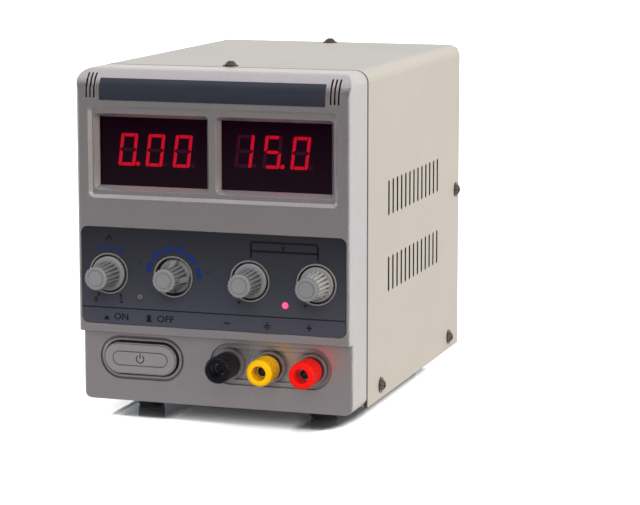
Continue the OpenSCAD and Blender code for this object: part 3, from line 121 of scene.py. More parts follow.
class Graph:
    """Places and joins the nodes of one material, one shared effect or the world."""

    def __init__(self, tree: bpy.types.NodeTree) -> None:
        """Starts on an empty tree.

        Args:
            tree: The node tree that this graph fills.
        """
        self.tree = tree
        self.tree.nodes.clear()

    def add(self, kind: str, sockets: dict | None = None, **settings: object) -> Node:
        """Adds one node.

        Args:
            kind: Blender's name of the node's type.
            sockets: Input name or number, with a plain value or the socket that feeds it.
            settings: Attributes of the node, set before its inputs.

        Returns:
            The new node.
        """
        node = self.tree.nodes.new(kind)
        for name, value in settings.items():
            setattr(node, name, value)
        for key, value in (sockets or {}).items():
            if isinstance(value, Socket):
                self.tree.links.new(value, node.inputs[key])
            else:
                node.inputs[key].default_value = value
        return node

    def place(self) -> Socket:
        """The point in the object's own frame."""
        return self.add("ShaderNodeTexCoord").outputs["Object"]

    def normal(self) -> Socket:
        """The direction that the surface faces."""
        return self.add("ShaderNodeNewGeometry").outputs["Normal"]

    def part(self, vector: Socket, axis: str) -> Socket:
        """One coordinate of a point or a direction."""
        return self.add("ShaderNodeSeparateXYZ", {"Vector": vector}).outputs[axis]

    def open_share(self, reach: float | Socket, samples: int) -> Socket:
        """1 where nothing is near, less in corners and under things."""
        near = {"Distance": reach}
        return self.add("ShaderNodeAmbientOcclusion", near, samples=samples).outputs["AO"]

    def math(self, operation: str, *values: float | Socket) -> Socket:
        """One sum on numbers or sockets."""
        sockets = dict(enumerate(values))
        return self.add("ShaderNodeMath", sockets, operation=operation).outputs[0]

    def vector(self, operation: str, *values: Colour | Socket) -> Socket:
        """One sum on vectors."""
        sockets = dict(enumerate(values))
        return self.add("ShaderNodeVectorMath", sockets, operation=operation).outputs[0]

    def mix(
        self, share: float | Socket, first: Colour | Socket, second: Colour | Socket
    ) -> Socket:
        """Blends two colours.

        Args:
            share: How much of the second colour shows.
            first: The colour at share 0.
            second: The colour at share 1.

        Returns:
            The blended colour.
        """
        ready = [rgba(c) if isinstance(c, tuple) else c for c in (first, second)]
        sockets = {0: share, 6: ready[0], 7: ready[1]}
        return self.add("ShaderNodeMix", sockets, data_type="RGBA").outputs[2]

    def blend(self, share: Socket, first: Node, second: Node) -> Node:
        """Blends two shaders, the first at share 0 and the second at share 1."""
        sockets = {0: share, 1: first.outputs[0], 2: second.outputs[0]}
        return self.add("ShaderNodeMixShader", sockets)

    def span(
        self, value: Socket, start: float, end: float, low: float | Socket = 0.0,
        high: float | Socket = 1.0,
    ) -> Socket:
        """Carries a value from the range start to end over to the range low to high.

        Args:
            value: What is carried over.
            start: The value that becomes low.
            end: The value that becomes high.
            low: What start becomes.
            high: What end becomes.

        Returns:
            The value in its new range, which it doesn't leave.
        """
        names = ("Value", "From Min", "From Max", "To Min", "To Max")
        sockets = dict(zip(names, (value, start, end, low, high)))
        return self.add("ShaderNodeMapRange", sockets).outputs["Result"]


class Effect(Enum):
    """The effects that several finishes share."""

    MOTTLE = "mottle"
    GRAIN = "grain"
    FLAKES = "flakes"
    EDGES = "worn_edges"
    DUST = "dust"
    # painted shade: darkening deep in grooves and corners, where shade falls
    PAINTED_CAVITY_SHADE = "painted_cavity_shade"


class Effects:
    """Builds each shared effect once, as a node group with named inputs and outputs.

    A band is the range of a value over which its effect comes in, and a least share is how much
    of the effect is left in its weakest patches.
    """

    cloud_band: Pair = (0.32, 0.68)
    patch_band: Pair = (0.3, 0.6)
    dust_band: Pair = (0.35, 0.7)
    sharp_band: Pair = (0.995, 0.8)
    upward_band: Pair = (0.6, 1.0)
    deep_band: Pair = (0.85, 0.3)
    least_wear: float = 0.35
    least_dust: float = 0.2
    least_depth: float = 0.8
    middle: Colour = (0.5, 0.5, 0.5)

    def __init__(self) -> None:
        """Builds all groups."""
        forms = {
            Effect.MOTTLE: (self.mottle, ("Value",), {"Size": 0.01, "Low": 0.0, "High": 1.0}),
            Effect.GRAIN: (self.grain, ("Height",), {"Size": 0.0003}),
            Effect.FLAKES: (
                self.flakes, ("Mask", "Shade", "Normal"),
                {"Size": 0.0004, "Share": 0.1, "Tilt": 0.3},
            ),
            Effect.EDGES: (self.edges, ("Mask",), {"Size": 0.004, "Width": 0.0004}),
            Effect.DUST: (self.dust, ("Mask",), {"Size": 0.02, "Amount": 0.2}),
            Effect.PAINTED_CAVITY_SHADE: (self.painted_cavity_shade, ("Mask",), {"Size": 0.004, "Reach": 0.002}),
        }
        self.trees = {effect: self.group(effect, *form) for effect, form in forms.items()}

    def group(
        self, effect: Effect, form: Callable[[Graph, Node], tuple[Socket, ...]],
        outputs: tuple[str, ...], inputs: dict[str, float],
    ) -> bpy.types.NodeTree:
        """Builds one group.

        Args:
            effect: The effect that the group is for.
            form: Makes the effect on the group's graph from its input node.
            outputs: Names of what it puts out: Normal is a vector, the others are values.
            inputs: Names of what it takes besides the place, with their defaults.

        Returns:
            The node tree of the group.
        """
        tree = bpy.data.node_groups.new(effect.value, "ShaderNodeTree")
        tree.interface.new_socket("Place", in_out="INPUT", socket_type="NodeSocketVector")
        for name, value in inputs.items():
            socket = tree.interface.new_socket(name, in_out="INPUT", socket_type="NodeSocketFloat")
            socket.default_value = value
        for name in outputs:
            kind = "NodeSocketVector" if name == "Normal" else "NodeSocketFloat"
            tree.interface.new_socket(name, in_out="OUTPUT", socket_type=kind)
        graph = Graph(tree)
        made = form(graph, graph.add("NodeGroupInput"))
        graph.add("NodeGroupOutput", dict(zip(outputs, made)))
        return tree

    @staticmethod
    def noise(graph: Graph, given: Node, detail: float) -> Socket:
        """Noise whose lumps have the size that the group is given.

        Args:
            graph: The group's graph.
            given: The group's input node.
            detail: How fine its smallest lumps are.

        Returns:
            The noise.
        """
        scale = graph.math("DIVIDE", 1.0, given.outputs["Size"])
        sockets = {"Vector": given.outputs["Place"], "Scale": scale, "Detail": detail}
        return graph.add("ShaderNodeTexNoise", sockets).outputs[0]

    def mottle(self, graph: Graph, given: Node) -> tuple[Socket, ...]:
        """A soft, uneven value between Low and High.

        Args:
            graph: The group's graph.
            given: The group's input node.

        Returns:
            The value.
        """
        cloud = self.noise(graph, given, 3.0)
        limits = (given.outputs["Low"], given.outputs["High"])
        return (graph.span(cloud, *self.cloud_band, *limits),)

    def grain(self, graph: Graph, given: Node) -> tuple[Socket, ...]:
        """The fine relief of a moulded, sprayed or cast face."""
        return (self.noise(graph, given, 2.0),)

    def flakes(self, graph: Graph, given: Node) -> tuple[Socket, ...]:
        """Metal flakes: cells of a given size, of which a share shines, each with its own shade.

        Args:
            graph: The group's graph.
            given: The group's input node.

        Returns:
            Where flakes shine, their shade and their normal.
        """
        scale = graph.math("DIVIDE", 1.0, given.outputs["Size"])
        sockets = {"Vector": given.outputs["Place"], "Scale": scale}
        cells = graph.add("ShaderNodeTexVoronoi", sockets)
        draws = graph.add("ShaderNodeSeparateColor", {"Color": cells.outputs["Color"]}).outputs
        limit = graph.math("SUBTRACT", 1.0, given.outputs["Share"])
        shines = graph.math("GREATER_THAN", draws["Red"], limit)
        swing = graph.math("MULTIPLY", given.outputs["Tilt"], shines)
        offset = graph.vector("SUBTRACT", cells.outputs["Color"], self.middle)
        scaled = graph.add("ShaderNodeVectorMath", {0: offset, "Scale": swing}, operation="SCALE")
        tilted = graph.vector("ADD", graph.normal(), scaled.outputs[0])
        return (shines, draws["Green"], graph.vector("NORMALIZE", tilted))

    def edges(self, graph: Graph, given: Node) -> tuple[Socket, ...]:
        """Where the surface turns sharply within a given width, broken up as wear is.

        Args:
            graph: The group's graph.
            given: The group's input node.

        Returns:
            The mask.
        """
        soft = graph.add("ShaderNodeBevel", {"Radius": given.outputs["Width"]}, samples=4)
        pair = {0: soft.outputs["Normal"], 1: graph.normal()}
        same = graph.add("ShaderNodeVectorMath", pair, operation="DOT_PRODUCT").outputs["Value"]
        turn = graph.span(same, *self.sharp_band)
        patchy = graph.span(self.noise(graph, given, 2.0), *self.patch_band, self.least_wear)
        return (graph.math("MULTIPLY", turn, patchy),)

    def dust(self, graph: Graph, given: Node) -> tuple[Socket, ...]:
        """A thin film that settles on faces turned upwards.

        Args:
            graph: The group's graph.
            given: The group's input node.

        Returns:
            The mask.
        """
        lying = graph.span(graph.part(graph.normal(), "Z"), *self.upward_band)
        patchy = graph.span(self.noise(graph, given, 4.0), *self.dust_band, self.least_dust)
        settled = graph.math("MULTIPLY", lying, patchy)
        return (graph.math("MULTIPLY", settled, given.outputs["Amount"]),)

    def painted_cavity_shade(self, graph: Graph, given: Node) -> tuple[Socket, ...]:
        """Painted shade: 1 deep in grooves and corners, 0 in the open, within a given reach.

        Args:
            graph: The group's graph.
            given: The group's input node.

        Returns:
            The mask.
        """
        deep = graph.span(graph.open_share(given.outputs["Reach"], 8), *self.deep_band)
        patchy = graph.span(self.noise(graph, given, 2.0), *self.patch_band, self.least_depth)
        return (graph.math("MULTIPLY", deep, patchy),)


class Skin(Graph):
    """The graph of one finish, which can also place the shared effects."""

    def __init__(self, tree: bpy.types.NodeTree, effects: Effects) -> None:
        """Starts on an empty tree.

        Args:
            tree: The material's node tree.
            effects: The shared effects.
        """
        super().__init__(tree)
        self.effects = effects

    def effect(self, kind: Effect, **values: float) -> Node:
        """Places a shared effect, fed with the object's own coordinates.

        Args:
            kind: The effect to place.
            values: Its inputs, each with a small first letter.

        Returns:
            The group node.
        """
        sockets = {"Place": self.place()}
        sockets.update({name.capitalize(): value for name, value in values.items()})
        return self.add("ShaderNodeGroup", sockets, node_tree=self.effects.trees[kind])


@dataclass(frozen=True)
class Finish:
    """A moulded, painted or metal surface with grain, uneven gloss, worn edges and, where asked,
    painted shade in its grooves and corners.
    """

    name: str
    colour: Colour
    roughness: float = 0.5
    unevenness: float = 0.06
    least_roughness: float = 0.02
    metallic: float = 0.0
    specular: float = 0.5
    coat: float = 0.0
    cloud_size: float = 12 * MM
    cloud_depth: float = 0.08
    gloss_clouds: float = 0.4
    grain_size: float = 0.4 * MM
    grain_depth: float = 0.02 * MM
    wear: float = 0.15
    wear_width: float = 0.35 * MM
    worn_shade: float = 0.8
    worn_share: float = 0.5
    dust: float = 0.0
    dust_colour: Colour = (0.55, 0.53, 0.5)
    painted_cavity_shade: float = 0.0
    painted_shade_reach: float = 2 * MM
    painted_shade_factor: float = 0.15
    soft_edge: float = 0.0

    def base(self, graph: Skin) -> Socket:
        """The surface's own colour before wear and dust.

        Args:
            graph: The material's graph.

        Returns:
            The colour.
        """
        cloud = graph.effect(Effect.MOTTLE, size=self.cloud_size, low=0.0, high=1.0)
        darker = times(self.colour, 1.0 - self.cloud_depth)
        return graph.mix(cloud.outputs["Value"], darker, self.colour)

    def relief(self, graph: Skin) -> Socket:
        """The height that the bump node reads."""
        return graph.effect(Effect.GRAIN, size=self.grain_size).outputs["Height"]

    def shader_values(self) -> dict[str, object]:
        """Plain values of the shader's own sockets.

        Returns:
            Socket names with their values.
        """
        return {
            "Metallic": self.metallic,
            "Specular IOR Level": self.specular,
            "Coat Weight": self.coat,
        }

    def bump_normal(self, graph: Skin) -> Socket | None:
        """The normal that the grain is laid on, rounded at edges where the finish says so.

        Args:
            graph: The material's graph.

        Returns:
            The normal, or nothing where the edges stay as they are.
        """
        if self.soft_edge <= 0:
            return None
        return graph.add("ShaderNodeBevel", {"Radius": self.soft_edge}, samples=6).outputs[0]

    def make(self, effects: Effects) -> bpy.types.Material:
        """Builds the material.

        Args:
            effects: The shared effects.

        Returns:
            The finished material.
        """
        material = new_material(self.name)
        graph = Skin(material.node_tree, effects)
        colour = self.base(graph)
        if self.wear > 0:
            worn = graph.effect(Effect.EDGES, width=self.wear_width).outputs["Mask"]
            paler = tuple(c + (self.worn_shade - c) * self.worn_share for c in self.colour)
            colour = graph.mix(graph.math("MULTIPLY", worn, self.wear), colour, paler)
        # painted shade: the colour darkens deep in grooves and corners, where shade falls
        if self.painted_cavity_shade > 0:
            deep = graph.effect(Effect.PAINTED_CAVITY_SHADE, reach=self.painted_shade_reach).outputs["Mask"]
            share = graph.math("MULTIPLY", deep, self.painted_cavity_shade)
            colour = graph.mix(share, colour, times(self.colour, self.painted_shade_factor))
        if self.dust > 0:
            settled = graph.effect(Effect.DUST, amount=self.dust).outputs["Mask"]
            colour = graph.mix(settled, colour, self.dust_colour)
        size = self.cloud_size * self.gloss_clouds
        low = max(self.roughness - self.unevenness, self.least_roughness)
        high = self.roughness + self.unevenness
        rough = graph.effect(Effect.MOTTLE, size=size, low=low, high=high).outputs["Value"]
        bump = {"Height": self.relief(graph), "Strength": 1.0, "Distance": self.grain_depth}
        softened = self.bump_normal(graph)
        if softened is not None:
            bump["Normal"] = softened
        relief = graph.add("ShaderNodeBump", bump).outputs[0]
        sockets = {"Base Color": colour, "Roughness": rough, "Normal": relief}
        shader = graph.add("ShaderNodeBsdfPrincipled", {**sockets, **self.shader_values()})
        graph.add("ShaderNodeOutputMaterial", {"Surface": shader.outputs[0]})
        return material


@dataclass(frozen=True)
class FlakePaint(Finish):
    """Silver paint or moulding compound with metal flakes in it."""

    flake_size: float = 0.34 * MM
    flake_share: float = 0.3
    flake_tilt: float = 0.34
    flake_colour: Colour = (0.84, 0.8, 0.75)
    flake_strength: float = 0.5

    def flakes(self, graph: Skin) -> Node:
        """The flakes of this paint.

        Args:
            graph: The material's graph.

        Returns:
            The group node.
        """
        return graph.effect(
            Effect.FLAKES, size=self.flake_size, share=self.flake_share, tilt=self.flake_tilt
        )

    def base(self, graph: Skin) -> Socket:
        """The clouded ground with paler flakes over it.

        Args:
            graph: The material's graph.

        Returns:
            The colour.
        """
        ground = super().base(graph)
        flakes = self.flakes(graph).outputs
        strength = graph.math("MULTIPLY", flakes["Shade"], self.flake_strength)
        share = graph.math("MULTIPLY", flakes["Mask"], strength)
        return graph.mix(share, ground, self.flake_colour)

    def bump_normal(self, graph: Skin) -> Socket | None:
        """Tilts each flake its own way over the softened edges.

        Args:
            graph: The material's graph.

        Returns:
            The normal.
        """
        soft = super().bump_normal(graph)
        flakes = self.flakes(graph).outputs["Normal"]
        if soft is None:
            return flakes
        lean = graph.vector("SUBTRACT", flakes, graph.normal())
        return graph.vector("NORMALIZE", graph.vector("ADD", soft, lean))


@dataclass(frozen=True)
class ReflectionGradedFilm(Finish):
    """A film whose ground runs from one shade at its foot to another at its head; on the control
    film the paler foot is painted reflection of the floor, on the title strip the foot is darker.
    """

    foot: Colour = (0.1, 0.1, 0.1)
    low_z: float = 0.0
    high_z: float = 1.0

    def base(self, graph: Skin) -> Socket:
        """The graded ground.

        Args:
            graph: The material's graph.

        Returns:
            The colour.
        """
        head = super().base(graph)
        height = graph.span(graph.part(graph.place(), "Z"), self.low_z, self.high_z)
        return graph.mix(height, self.foot, head)


@dataclass(frozen=True)
class JointShadowPaint(Finish):
    """Sheet paint with painted shade along its front edge, where the joint with the moulding lies
    in shadow.
    """

    edge_y: float = 0.0
    edge_width: float = 1.5 * MM
    edge_sharpness: float = 0.8
    joint_shadow_colour: Colour = (0.05, 0.032, 0.022)

    def base(self, graph: Skin) -> Socket:
        """The paint, with painted shade along the joint.

        Args:
            graph: The material's graph.

        Returns:
            The colour.
        """
        ground = super().base(graph)
        start = self.edge_y + self.edge_width * self.edge_sharpness
        end = self.edge_y + self.edge_width
        inside = graph.span(graph.part(graph.place(), "Y"), start, end, 1.0, 0.0)
        return graph.mix(inside, ground, self.joint_shadow_colour)


@dataclass(frozen=True)
class Striped(Finish):
    """A surface with fine lines across one axis, as laminations, wound tape or brushing."""

    axis: str = "X"
    pitch: float = 0.5 * MM
    line_colour: Colour = (0.1, 0.1, 0.1)
    line_share: float = 0.5
    line_depth: float = 0.5
    waver: float = 0.4
    wave_rate: float = 20.0

    def lines(self, graph: Skin) -> Socket:
        """A wave across the axis, from 0 in the grooves to 1 on the ridges.

        Args:
            graph: The material's graph.

        Returns:
            The wave.
        """
        sockets = {
            "Vector": graph.place(),
            "Scale": 1.0 / (self.pitch * self.wave_rate) * 2 * math.pi,
            "Distortion": self.waver,
            "Detail": 1.0,
        }
        return graph.add("ShaderNodeTexWave", sockets, bands_direction=self.axis).outputs["Fac"]

    def base(self, graph: Skin) -> Socket:
        """The ground with its lines.

        Args:
            graph: The material's graph.

        Returns:
            The colour.
        """
        ground = super().base(graph)
        groove = graph.span(self.lines(graph), 0.0, 1.0, self.line_share, 0.0)
        return graph.mix(groove, ground, self.line_colour)

    def relief(self, graph: Skin) -> Socket:
        """Lines and grain together.

        Args:
            graph: The material's graph.

        Returns:
            The height.
        """
        grain = super().relief(graph)
        deep = graph.math("MULTIPLY", self.lines(graph), self.line_depth)
        return graph.math("ADD", grain, deep)


@dataclass(frozen=True)
class Lacquer(Finish):
    """A circuit board: tracks and pads that show through a coloured lacquer."""

    track_colour: Colour = (0.1, 0.3, 0.12)
    track_edge: Pair = (0.07, 0.09)
    pad_colour: Colour = (0.6, 0.58, 0.5)
    pad_edge: Pair = (0.1, 0.13)
    cell: float = 5 * MM

    def base(self, graph: Skin) -> Socket:
        """Lacquer with lighter tracks along cell borders and tinned pads in the cells.

        Args:
            graph: The material's graph.

        Returns:
            The colour.
        """
        ground = super().base(graph)
        sockets = {"Vector": graph.place(), "Scale": 1.0 / self.cell}
        masks = []
        for edge, form in (
            (self.track_edge, {"feature": "DISTANCE_TO_EDGE"}),
            (self.pad_edge, {"distance": "CHEBYCHEV"}),
        ):
            cells = graph.add("ShaderNodeTexVoronoi", sockets, **form)
            masks.append(graph.span(cells.outputs["Distance"], *edge, 1.0, 0.0))
        tracked = graph.mix(masks[0], ground, self.track_colour)
        return graph.mix(masks[1], tracked, self.pad_colour)


@dataclass(frozen=True)
class Pane(Finish):
    """A smoked acrylic pane with faint handling marks in its gloss."""

    def shader_values(self) -> dict[str, object]:
        """Clear body with plain metallic and transmission."""
        return {**super().shader_values(), "Transmission Weight": 1.0, "IOR": 1.49}


@dataclass(frozen=True)
class Glow(Finish):
    """An unworn surface that gives light: the lit bars and the lamp give their own, and the faint
    glow of the unlit bars and the modules is painted light for what would reach them through the
    pane.
    """

    wear: float = 0.0
    light: Colour = (1.0, 0.1, 0.1)
    strength: float = 1.0

    def shader_values(self) -> dict[str, object]:
        """Adds the light to the shader's plain values."""
        light = {"Emission Color": rgba(self.light), "Emission Strength": self.strength}
        return {**super().shader_values(), **light}


class Slot(Enum):
    """The record's material slots that the print belongs to."""

    SILVER_MOULDING = "silver_moulding"
    DARK_FILM = "dark_film"


class Palette:
    """Holds every finish of the supply and makes each material once."""

    def __init__(self, effects: Effects) -> None:
        """Lists the finishes.

        Args:
            effects: The shared effects.
        """
        self.effects = effects
        self.made: dict[str, bpy.types.Material] = {}
        kinds = (self.front(), self.plastics(), self.lights(), self.metals(), self.inks())
        self.finishes = {finish.name: finish for kind in kinds for finish in kind}

    @staticmethod
    def front() -> list[Finish]:
        """The moulding, the button, the films, the panes and the cover's paint.

        Returns:
            The finishes.
        """
        film_low, film_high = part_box("control_overlay")
        strip_low, strip_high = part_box("title_strip")
        cover_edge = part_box("top_cover")[0].y
        film = {"wear": 0.0, "grain_depth": 0.008 * MM}
        # its cavity darkening is painted shade in grooves, gaps and recesses
        silver = FlakePaint(
            "silver_moulding", (0.7, 0.657, 0.613), 0.37, metallic=0.91, cloud_depth=0.03,
            unevenness=0.02, grain_depth=0.006 * MM, wear=0.2, soft_edge=0.4 * MM,
            painted_cavity_shade=0.9, painted_shade_reach=3.0 * MM,
        )
        return [
            silver,
            replace(silver, name="button_silver", colour=(0.84, 0.8, 0.75)),
            # darker towards the bottom of the title strip
            ReflectionGradedFilm(
                "slate_film", (0.03, 0.034, 0.046), 0.34, cloud_depth=0.05,
                foot=(0.023, 0.026, 0.036), low_z=strip_low.z, high_z=strip_high.z, **film,
            ),
            # painted reflection: the paler foot stands in for the floor seen in the film
            ReflectionGradedFilm(
                "dark_film", (0.015, 0.0155, 0.019), 0.36, foot=(0.058, 0.058, 0.077),
                low_z=film_low.z, high_z=film_high.z, **film,
            ),
            Pane(
                "smoked_pane", (0.55, 0.12, 0.2), 0.03, 0.01, specular=0.04, cloud_depth=0.02,
                grain_depth=0.0005 * MM, wear=0.0,
            ),
            # painted shade: a dark band along the cover's front edge stands in for the shadow in
            # the joint
            JointShadowPaint(
                "cover_paint", (0.663, 0.606, 0.524), 0.5, cloud_size=60 * MM, cloud_depth=0.03,
                unevenness=0.03, grain_size=0.6 * MM, grain_depth=0.015 * MM, wear=0.1,
                dust=0.05, edge_y=cover_edge,
            ),
            # painted shade: the slot walls stand in for the dark inside seen through the slots
            Finish("slot_edge", (0.012, 0.008, 0.005), 0.7, specular=0.0, wear=0.0),
        ]

    @staticmethod
    def plastics() -> list[Finish]:
        """Knobs, caps, feet and what is moulded or coated inside and at the rear.

        Returns:
            The finishes.
        """
        cap = {"wear": 0.0, "soft_edge": 0.7 * MM, "grain_depth": 0.004 * MM}
        # its cavity darkening is painted shade in the valleys of the flutes
        grey = Finish(
            "knob_grey", (0.236, 0.232, 0.231), 0.42, cloud_depth=0.1, wear=0.3, dust=0.1,
            soft_edge=0.15 * MM, painted_cavity_shade=0.5, painted_shade_reach=1.2 * MM,
        )
        return [
            grey,
            replace(grey, name="knob_ivory", colour=(0.52, 0.51, 0.48), cloud_depth=0.08, wear=0.2),
            Finish("black_cap", (0.005, 0.005, 0.008), 0.2, specular=0.3, **cap),
            Finish(
                "yellow_cap", (1.0, 0.54, 0.001), 0.24, cloud_depth=0.05, specular=0.12, **cap
            ),
            Finish("red_cap", (1.0, 0.008, 0.004), 0.24, cloud_depth=0.03, specular=0.14, **cap),
            Finish("black_plastic", (0.018, 0.018, 0.02), 0.48, wear=0.08),
            Finish("white_nylon", (0.76, 0.76, 0.73), 0.45),
            Finish(
                "rubber", (0.016, 0.016, 0.016), 0.75, grain_depth=0.05 * MM, wear=0.1, dust=0.1
            ),
            Lacquer("circuit_board", (0.03, 0.12, 0.05), 0.32, wear=0.05),
            Finish("capacitor_sleeve", (0.02, 0.03, 0.1), 0.25, coat=0.2, cloud_depth=0.1),
            Finish("relay_blue", (0.04, 0.12, 0.4), 0.3, coat=0.1),
            Finish("selector_red", (0.66, 0.03, 0.02), 0.35),
        ]

    @staticmethod
    def lights() -> list[Finish]:
        """The bars of the digits, their modules and the lamps.

        Returns:
            The finishes.
        """
        return [
            Glow("lit_segment", (0.5, 0.02, 0.04), 0.4, light=(1.0, 0.02, 0.09)),
            # painted light: the faint glow of the unlit bars stands in for light through the pane
            Glow(
                "unlit_segment", (0.03, 0.02, 0.03), 0.5, specular=0.1, light=(0.8, 0.3, 1.0),
                strength=0.07,
            ),
            # painted light: the faint glow of the modules stands in for light through the pane
            Glow(
                "module_black", (0.02, 0.018, 0.02), 0.6, specular=0.1, light=(0.6, 0.0, 1.0),
                strength=0.013,
            ),
            Glow(
                "red_lamp", (0.8, 0.05, 0.1), 0.16, coat=0.6, light=(1.0, 0.1, 0.3), strength=0.9
            ),
            Finish(
                "clear_lamp", (0.13, 0.12, 0.125), 0.16, coat=0.6, cloud_depth=0.2, wear=0.0,
                cloud_size=1.5 * MM,
            ),
        ]

    @staticmethod
    def metals() -> list[Finish]:
        """Sheet, turned, plated and wound metal.

        Returns:
            The finishes.
        """
        solid = {"metallic": 1.0, "cloud_depth": 0.15}
        return [
            Finish("control_body", (0.45, 0.45, 0.46), 0.36, **solid),
            Finish("brass", (0.75, 0.58, 0.32), 0.28, **solid),
            Finish(
                "nickel", (0.62, 0.6, 0.57), 0.24, metallic=1.0, cloud_depth=0.12,
                grain_depth=0.005 * MM,
            ),
            # its cavity darkening is painted shade in the cross recess and round the washer
            Finish(
                "screw_metal", (0.19, 0.145, 0.12), 0.14, metallic=1.0, cloud_depth=0.4,
                cloud_size=1.5 * MM, wear=0.5, painted_cavity_shade=0.5, painted_shade_reach=1 * MM,
            ),
            Striped(
                "shaft_alloy", (0.78, 0.78, 0.78), 0.3, metallic=1.0, axis="Y",
                pitch=0.3 * MM, line_colour=(0.6, 0.6, 0.6), line_share=0.3,
            ),
            Striped(
                "zinc_steel", (0.6, 0.61, 0.62), 0.38, metallic=0.9, pitch=0.6 * MM,
                line_colour=(0.5, 0.51, 0.53), line_share=0.35, line_depth=0.3,
                cloud_depth=0.2, dust=0.1,
            ),
            Striped(
                "black_anodised", (0.022, 0.022, 0.024), 0.45, metallic=0.5, wear=0.2,
                line_colour=(0.035, 0.035, 0.038),
            ),
            Striped(
                "core_steel", (0.2, 0.21, 0.23), 0.42, metallic=0.7,
                line_colour=(0.06, 0.06, 0.07), line_share=0.8,
            ),
            Striped(
                "copper_tape", (0.62, 0.5, 0.12), 0.35, axis="Z", pitch=3 * MM,
                line_colour=(0.45, 0.33, 0.06), line_share=0.6,
            ),
        ]

    @staticmethod
    def inks() -> list[Finish]:
        """The print on the film and the button.

        Returns:
            The finishes.
        """
        return [
            Finish(name, colour, roughness, wear=0.0, grain_depth=0.004 * MM)
            for name, colour, roughness in (
                ("black_print", (0.003, 0.003, 0.005), 0.4),
                ("navy_print", (0.004, 0.022, 0.125), 0.36),
                ("dim_print", (0.01, 0.02, 0.07), 0.36),
                ("sign_print", (0.03, 0.03, 0.032), 0.42),
            )
        ]

    def material(self, name: str) -> bpy.types.Material:
        """The material of a finish, made when it is first asked for.

        Args:
            name: The name of the finish.

        Returns:
            The material.
        """
        if name not in self.made:
            self.made[name] = self.finishes[name].make(self.effects)
        return self.made[name]

    def paint(self, piece: Piece, *names: str) -> None:
        """Gives a piece its finishes, one for each of its slots in order.

        Args:
            piece: The object to dress.
            names: The finishes, the first of which covers what is not told otherwise.
        """
        piece.data.materials.clear()
        for name in names:
            piece.data.materials.append(self.material(name))


